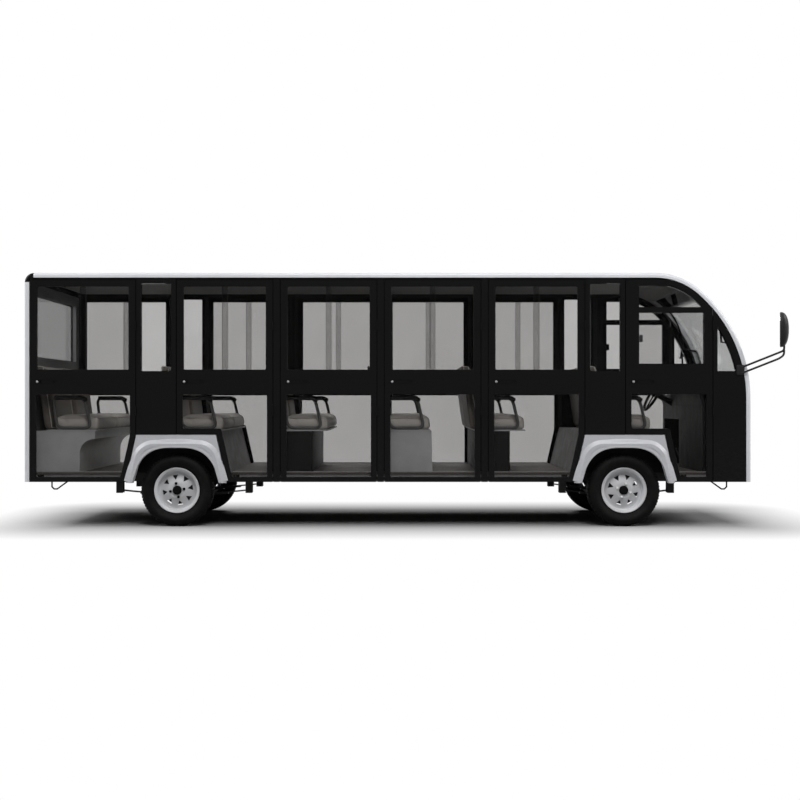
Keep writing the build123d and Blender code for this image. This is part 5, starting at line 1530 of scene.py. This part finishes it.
@dataclass
class CabTrim:
    """Steering wheel with a grip, instruments, switches and pedals."""

    centre: Spot = (2.290, 0.360, 1.105)
    tilt: float = 30.0
    radius: float = 0.175
    tube: float = 0.013
    ripple: float = 0.0012
    ripples: int = 24
    spoke_start: float = 0.020
    hub: float = 0.036
    hood_at: Spot = (2.432, 0.360, 1.092)
    hood_long: float = 0.165
    gauge_x: float = 2.413
    gauge_y: Pair = (0.300, 0.420)
    gauge_z: float = 1.128
    switch_x: Pair = (2.436, 2.450)
    switch_z: Pair = (1.012, 1.048)
    pedal_at: Pair = (2.530, 0.555)
    pedal_lean: float = -30.0

    def build(self) -> None:
        """Place the steering wheel and the dash's fittings."""
        made = place("steering_grip", self.wheel(), Finishes.BLACK_PLASTIC, "steering_wheel", "dash_plastic")
        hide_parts("steering_wheel")
        place("instrument_hood", self.hood(), Finishes.BLACK_PLASTIC, ROOT, "dash_plastic")
        rim = ring(0.003, 8)
        place("dial_rings", self.gauges(rim + np.array([0.040, 0.0])), Finishes.CHROME, ROOT)
        face = [(0.0, 0.004), (0.0385, 0.004), (0.0385, 0.0), (0.007, 0.0), (0.006, -0.004), (0.0, -0.0045)]
        place("dial_faces", self.gauges(face), Finishes.DIAL, ROOT)
        place("dash_switches", self.switches(), Finishes.BLACK_PLASTIC, ROOT, "dash_plastic", 30.0)
        place("pedals", self.pedals(), Finishes.RUBBER, ROOT, None, 30.0)

    def wheel(self) -> Mesh:
        """Grip ring with finger ripples, three spokes and a domed hub.

        The ring's tube radius falls and rises with a cosine round the wheel on its inner half; each spoke
        is a flat bar that widens toward the hub. The wheel is made about the Z axis and tipped back.

        Returns:
            The mesh at its place.
        """
        turn, round_tube = turns(144)[:, None], turns(16)[None]
        inner = np.clip(-np.cos(round_tube), 0, 1)
        tube = self.tube - self.ripple * (1 + np.cos(self.ripples * turn)) * inner
        reach = self.radius + tube * np.cos(round_tube)
        parts = [skin(xyz(reach * np.cos(turn), reach * np.sin(turn), tube * np.sin(round_tube)), True)]
        share = np.linspace(0, 1, 12)
        along = self.spoke_start + share * (self.radius - self.spoke_start)
        half = 0.013 + 0.010 * (1 - share) ** 2
        outline = rounded_rectangle((-1, -1), (1, 1), 0.6, 4)
        rows = xyz(along[:, None], half[:, None] * outline[None, :, 0], 0.005 * outline[None, :, 1] - 0.002)
        for angle in np.arange(3) * 2 * np.pi / 3 + np.pi:
            parts.append(skin(rows @ rotation("Z", angle).T))
        curve = np.linspace(0, np.pi / 2, 10)
        dome = xyz(self.hub * np.cos(curve) ** 0.5, 0.006 + 0.010 * np.sin(curve))
        profile = np.concatenate([[(0.0, -0.034), (0.030, -0.034), (self.hub, -0.010)], dome])
        parts.append(lathe(profile, ORIGIN, "Z", 40))
        back = rotation("Y", -math.radians(90 - self.tilt))
        return Mesh.joined(parts).turned(back, drawn_points(self.centre))

    def hood(self) -> Mesh:
        """Shell over the instruments on the dash's lip: arches of an ellipse that shrink toward the nose."""
        share = np.linspace(0, 1, 14)[:, None]
        arch = np.linspace(-0.12 * np.pi, 1.12 * np.pi, 33)[None]
        y = self.hood_at[1] + (0.165 - 0.035 * share ** 2) * np.cos(arch)
        z = self.hood_at[2] + (0.085 - 0.070 * share ** 1.5) * np.clip(np.sin(arch), -0.05, 1)
        brow = 0.018 * np.clip(np.sin(arch), 0, 1) * (1 - share)
        x = drawn(self.hood_at[0]) + self.hood_long * share - brow
        return skin(xyz(x, y, z))

    def gauges(self, profile: Any) -> Mesh:
        """A profile turned about X at each of the two gauges."""
        return Mesh.joined([lathe(profile, (drawn(self.gauge_x), y, self.gauge_z), "X", 36)
                            for y in self.gauge_y])

    def switches(self) -> Mesh:
        """Row of rocker switches on the dash's rear face beside the instruments."""
        (rear, front), (low, high) = self.switch_x, self.switch_z
        return Mesh.joined([box_bar((drawn(rear), y - 0.013, low), (drawn(front), y + 0.013, high), 0.004)
                            for y in np.arange(6) * 0.036 - 0.10])

    def pedals(self) -> Mesh:
        """Two pedal plates on bent arms in the foot opening."""
        parts = []
        slope = np.linspace(0, 1, 9)
        lean = rotation("Y", math.radians(self.pedal_lean))
        for y, half in ((0.300, 0.040), (0.430, 0.030)):
            arm = xyz(drawn(2.585) - 0.045 * np.sin(slope * np.pi / 2), y, 0.800 - 0.245 * slope)
            parts.append(tapered(arm, np.full(9, 0.008), 10))
            plate = box_bar((-0.006, -half, -0.050), (0.006, half, 0.050), 0.004)
            parts.append(plate.turned(lean, (drawn(self.pedal_at[0]), y, self.pedal_at[1])))
        return Mesh.joined(parts)


@dataclass
class FenderLips:
    """Rounded flares along the edges of the four wheel arches."""

    foot: Pair = (0.3555, 0.360)
    shoulder: Pair = (0.275, 0.648)
    bend: float = 0.220
    width: float = 0.075
    out: float = 0.024
    panel_y: float = 0.7545
    edge: float = 0.004
    start: float = 0.003

    def build(self) -> None:
        """Place one lip at each wheel."""
        for wheel in WheelPlace:
            lip = self.lip(wheel.axle_x).on(wheel.side)
            place(f"fender_lip_{wheel.value}", lip, Finishes.FENDER, ROOT, "body_white", 50.0)

    def lip(self, axle: float) -> Mesh:
        """Left lip: a curve carried along the arch, its height falling by a power of the distance.

        Args:
            axle: X of the wheel's middle.

        Returns:
            The capped mesh.
        """
        (foot, low), (shoulder, high) = self.foot, self.shoulder
        corners = np.array([(-foot, low), (-shoulder, high), (shoulder, high), (foot, low)])
        path = rounded_path(corners, self.bend, 22) + np.array([axle, 0.0])
        share = np.linspace(0.0, 1.0, 16)
        height = self.panel_y + self.out * (1 - share ** 1.6)
        top = xyz(self.start + share * (self.width - self.start), height)
        crest = self.panel_y + self.out
        edge = np.array([(self.width, self.panel_y - self.edge), (0.0, self.panel_y - self.edge),
                         (0.0, crest - self.edge), (0.0010, crest - 0.001)])
        return sweep(on_side(path, 0.0), np.concatenate([top, edge]), ACROSS, False)


@dataclass
class Mirrors:
    """Domed mirror housings on bent rods, with glasses and foot pads."""

    right_glass: Spot = (3.037, -0.850, 1.6115)
    right_half: Pair = (0.0765, 0.1425)
    right_deep: float = 0.070
    right_turn: float = 18.4
    left_glass: Spot = (2.640, 0.865, 1.545)
    left_half: Pair = (0.065, 0.105)
    left_deep: float = 0.060
    glass_share: Pair = (0.90, 0.91)
    rod: float = 0.0085
    bend: float = 0.022
    foot_edge: float = 0.005
    square: float = 2.35

    def build(self) -> None:
        """Place both mirrors in the room of the plain ones."""
        right = [self.housing(self.right_glass, self.right_half, self.right_deep, self.right_turn),
                 self.bar([(2.750, -0.759, 1.306), (3.072, -0.850, 1.442), (3.072, -0.850, 1.520)]),
                 self.bar([(2.750, -0.759, 1.258), (3.030, -0.846, 1.376), (3.070, -0.850, 1.404),
                           (3.072, -0.850, 1.446)]),
                 box_bar((drawn(2.711), -0.767, 1.246), (drawn(2.777), -0.755, 1.328), self.foot_edge)]
        left = [self.housing(self.left_glass, self.left_half, self.left_deep, 0.0),
                self.bar([(2.670, 0.758, 1.240), (2.670, 0.865, 1.378), (2.670, 0.865, 1.490)]),
                box_bar((drawn(2.640), 0.755, 1.200), (drawn(2.700), 0.767, 1.260), self.foot_edge)]
        for name, parts in (("right", right), ("left", left)):
            made = place(f"mirror_{name}", Mesh.joined(parts), Finishes.ROD, ROOT, "mirror_black", 50.0)
            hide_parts("mirrors")
        for name, at, half, turn in (("right", self.right_glass, self.right_half, self.right_turn),
                                     ("left", self.left_glass, self.left_half, 0.0)):
            small = (half[0] * self.glass_share[0], half[1] * self.glass_share[1])
            place(f"mirror_glass_{name}", self.glass(at, small, turn), Finishes.MIRROR, ROOT)

    @staticmethod
    def turned(local: Array, centre: Point, turn: float) -> Array:
        """Points about the glass turned about the upright and moved to their place."""
        return drawn_points(local @ rotation("Z", math.radians(-turn)).T + np.asarray(centre))

    def oval(self, half: Point) -> Array:
        """Outline between an ellipse and a rectangle: powers of the cosine and the sine."""
        angle = turns(56)
        power = 2 / self.square
        return xyz(*(size * np.sign(wave) * np.abs(wave) ** power
                     for size, wave in zip(half, (np.cos(angle), np.sin(angle)))))

    def housing(self, centre: Point, half: Point, deep: float, turn: float) -> Mesh:
        """Domed shell: ovals that shrink toward the nose by (1 - s^2.6)^(1/2.2), s the share of the depth.

        Args:
            centre: middle of the open side.
            half: half width and half height.
            deep: depth of the shell.
            turn: about the upright, in degrees.

        Returns:
            The closed mesh.
        """
        share = np.sin(np.linspace(0, np.pi / 2, 18)) * 0.995
        part = (1 - share ** 2.6) ** (1 / 2.2)
        outline = self.oval(half)[None]
        rows = np.concatenate([0.955 * outline, part[:, None, None] * outline])
        along = deep * np.concatenate([[0.0], 0.05 + 0.95 * share])
        return skin(self.turned(stationed(along, rows), centre, turn))

    def glass(self, centre: Point, half: Point, turn: float) -> Mesh:
        """Slightly domed glass on the housing's rear side: ovals that shrink as the dome's parabola rises.

        Args:
            centre: middle of the housing's open side.
            half: half width and half height.
            turn: about the upright, in degrees.

        Returns:
            The closed mesh.
        """
        fall = np.linspace(1.0, 0.02, 9)
        share = np.concatenate([[1.0], fall])[:, None, None]
        rise = np.concatenate([[-0.001], 0.001 + 0.003 * (1 - fall ** 2)])
        return skin(self.turned(stationed(-rise, share * self.oval(half)[None]), centre, turn))

    def bar(self, corners: Sequence[Point]) -> Mesh:
        """Round rod through bent corners."""
        path = drawn_points(rounded_path(np.array(corners), self.bend, 7))
        return sweep(path, ring(self.rod, 12), (0.21, 0.90, 0.13), False)


@dataclass
class OuterTrim:
    """Lamp bezels and the seals of the windscreen and the rear window."""

    nose: Spot = (1.662, 1.0531, 1.173)
    brow: Spot = (2.047, 1.512, 0.574)
    rear_x: float = -3.133
    bezel: float = 0.004
    bezel_corner: float = 0.010

    def build(self) -> None:
        """Place the trim."""
        front = ((0.575, 0.800, 0.210, 0.120, 2.810), (0.600, 0.482, 0.060, 0.050, 2.729))
        rear = ((0.655, 1.050, 0.090, 0.260, self.rear_x), (0.560, 0.640, 0.130, 0.050, self.rear_x))
        place("lamp_bezels_front", self.bezels(front), Finishes.CHROME, ROOT)
        place("lamp_bezels_rear", self.bezels(rear), Finishes.BLACK_PLASTIC, ROOT)
        window = self.frame_round((-0.600, 1.400), (0.600, 1.920), drawn(-3.130), 0.007, 0.025)
        place("rear_window_seal", window, Finishes.RUBBER, ROOT)
        place("windscreen_seal", self.screen_seal(), Finishes.RUBBER, ROOT)

    @staticmethod
    def frame_round(low: Point, high: Point, x: float, thick: float, corner: float) -> Mesh:
        """Round bar along a rounded rectangle of Y and Z at one X."""
        outline = rounded_rectangle(low, high, corner)
        return sweep(xyz(x, outline[:, 0], outline[:, 1]), ring(thick, 8), (1, 0, 0), True)

    def bezels(self, lamps: Sequence[Point]) -> Mesh:
        """Frames round lamps on both sides, each given by Y, Z, width, height and X."""
        parts = []
        for y, z, wide, high, x in lamps:
            for side in Side:
                middle = side.value * y
                low, top = (middle - wide / 2, z - high / 2), (middle + wide / 2, z + high / 2)
                parts.append(self.frame_round(low, top, drawn(x), self.bezel, self.bezel_corner))
        return Mesh.joined(parts)

    def front_x(self, z: Array) -> Array:
        """X of the nose at each height: a circle below and a smaller one above."""
        low, high = (x + np.sqrt(np.clip(radius ** 2 - (z - height) ** 2, 0, None))
                     for x, height, radius in (self.nose, self.brow))
        return drawn(np.where(z > self.brow[1], high, low))

    def screen_seal(self) -> Mesh:
        """Rubber round the windscreen: a bar up one edge on the nose's curve, across and down the other."""
        low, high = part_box("windscreen")
        turn = np.linspace(0.0, np.pi / 2, 60)
        z = low[2] + 0.006 + (high[2] - low[2] - 0.016) * np.sin(turn)
        half = high[1] - 0.004
        edge = xyz(self.front_x(z), half, z)
        across = np.linspace(half, -half, 14)[1:-1]
        top, foot = (xyz(end[0], y, end[2]) for end, y in ((edge[-1], across), (edge[0], -across)))
        other = (edge * np.array([1.0, -1.0, 1.0]))[::-1]
        return sweep(np.concatenate([edge, top, other, foot]), ring(0.008, 10), (1.0, 0.0, 0.25), True)


class Dresser:
    """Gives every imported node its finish."""

    def build(self) -> None:
        """Assign the materials node by node."""
        for name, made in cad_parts.items():
            finish = NODE_FINISHES[name] if name in NODE_FINISHES else KIND_FINISHES[name.split("_")[0]]
            made.data.materials.clear()
            made.data.materials.append(finish.material())


def main() -> None:
    """Build the studio and the car's sub-assemblies in order."""
    logging.basicConfig(level=logging.INFO, format="%(name)s %(message)s")
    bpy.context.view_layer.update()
    for assembly in (Studio(), Dresser(), Wheels(), Seats(), Armrests(), Pedestals(), DoorTrim(), Sills(),
                     CabTrim(), FenderLips(), Mirrors(), OuterTrim()):
        LOG.info("building %s", type(assembly).__name__)
        assembly.build()


if __name__ == "__main__":
    main()
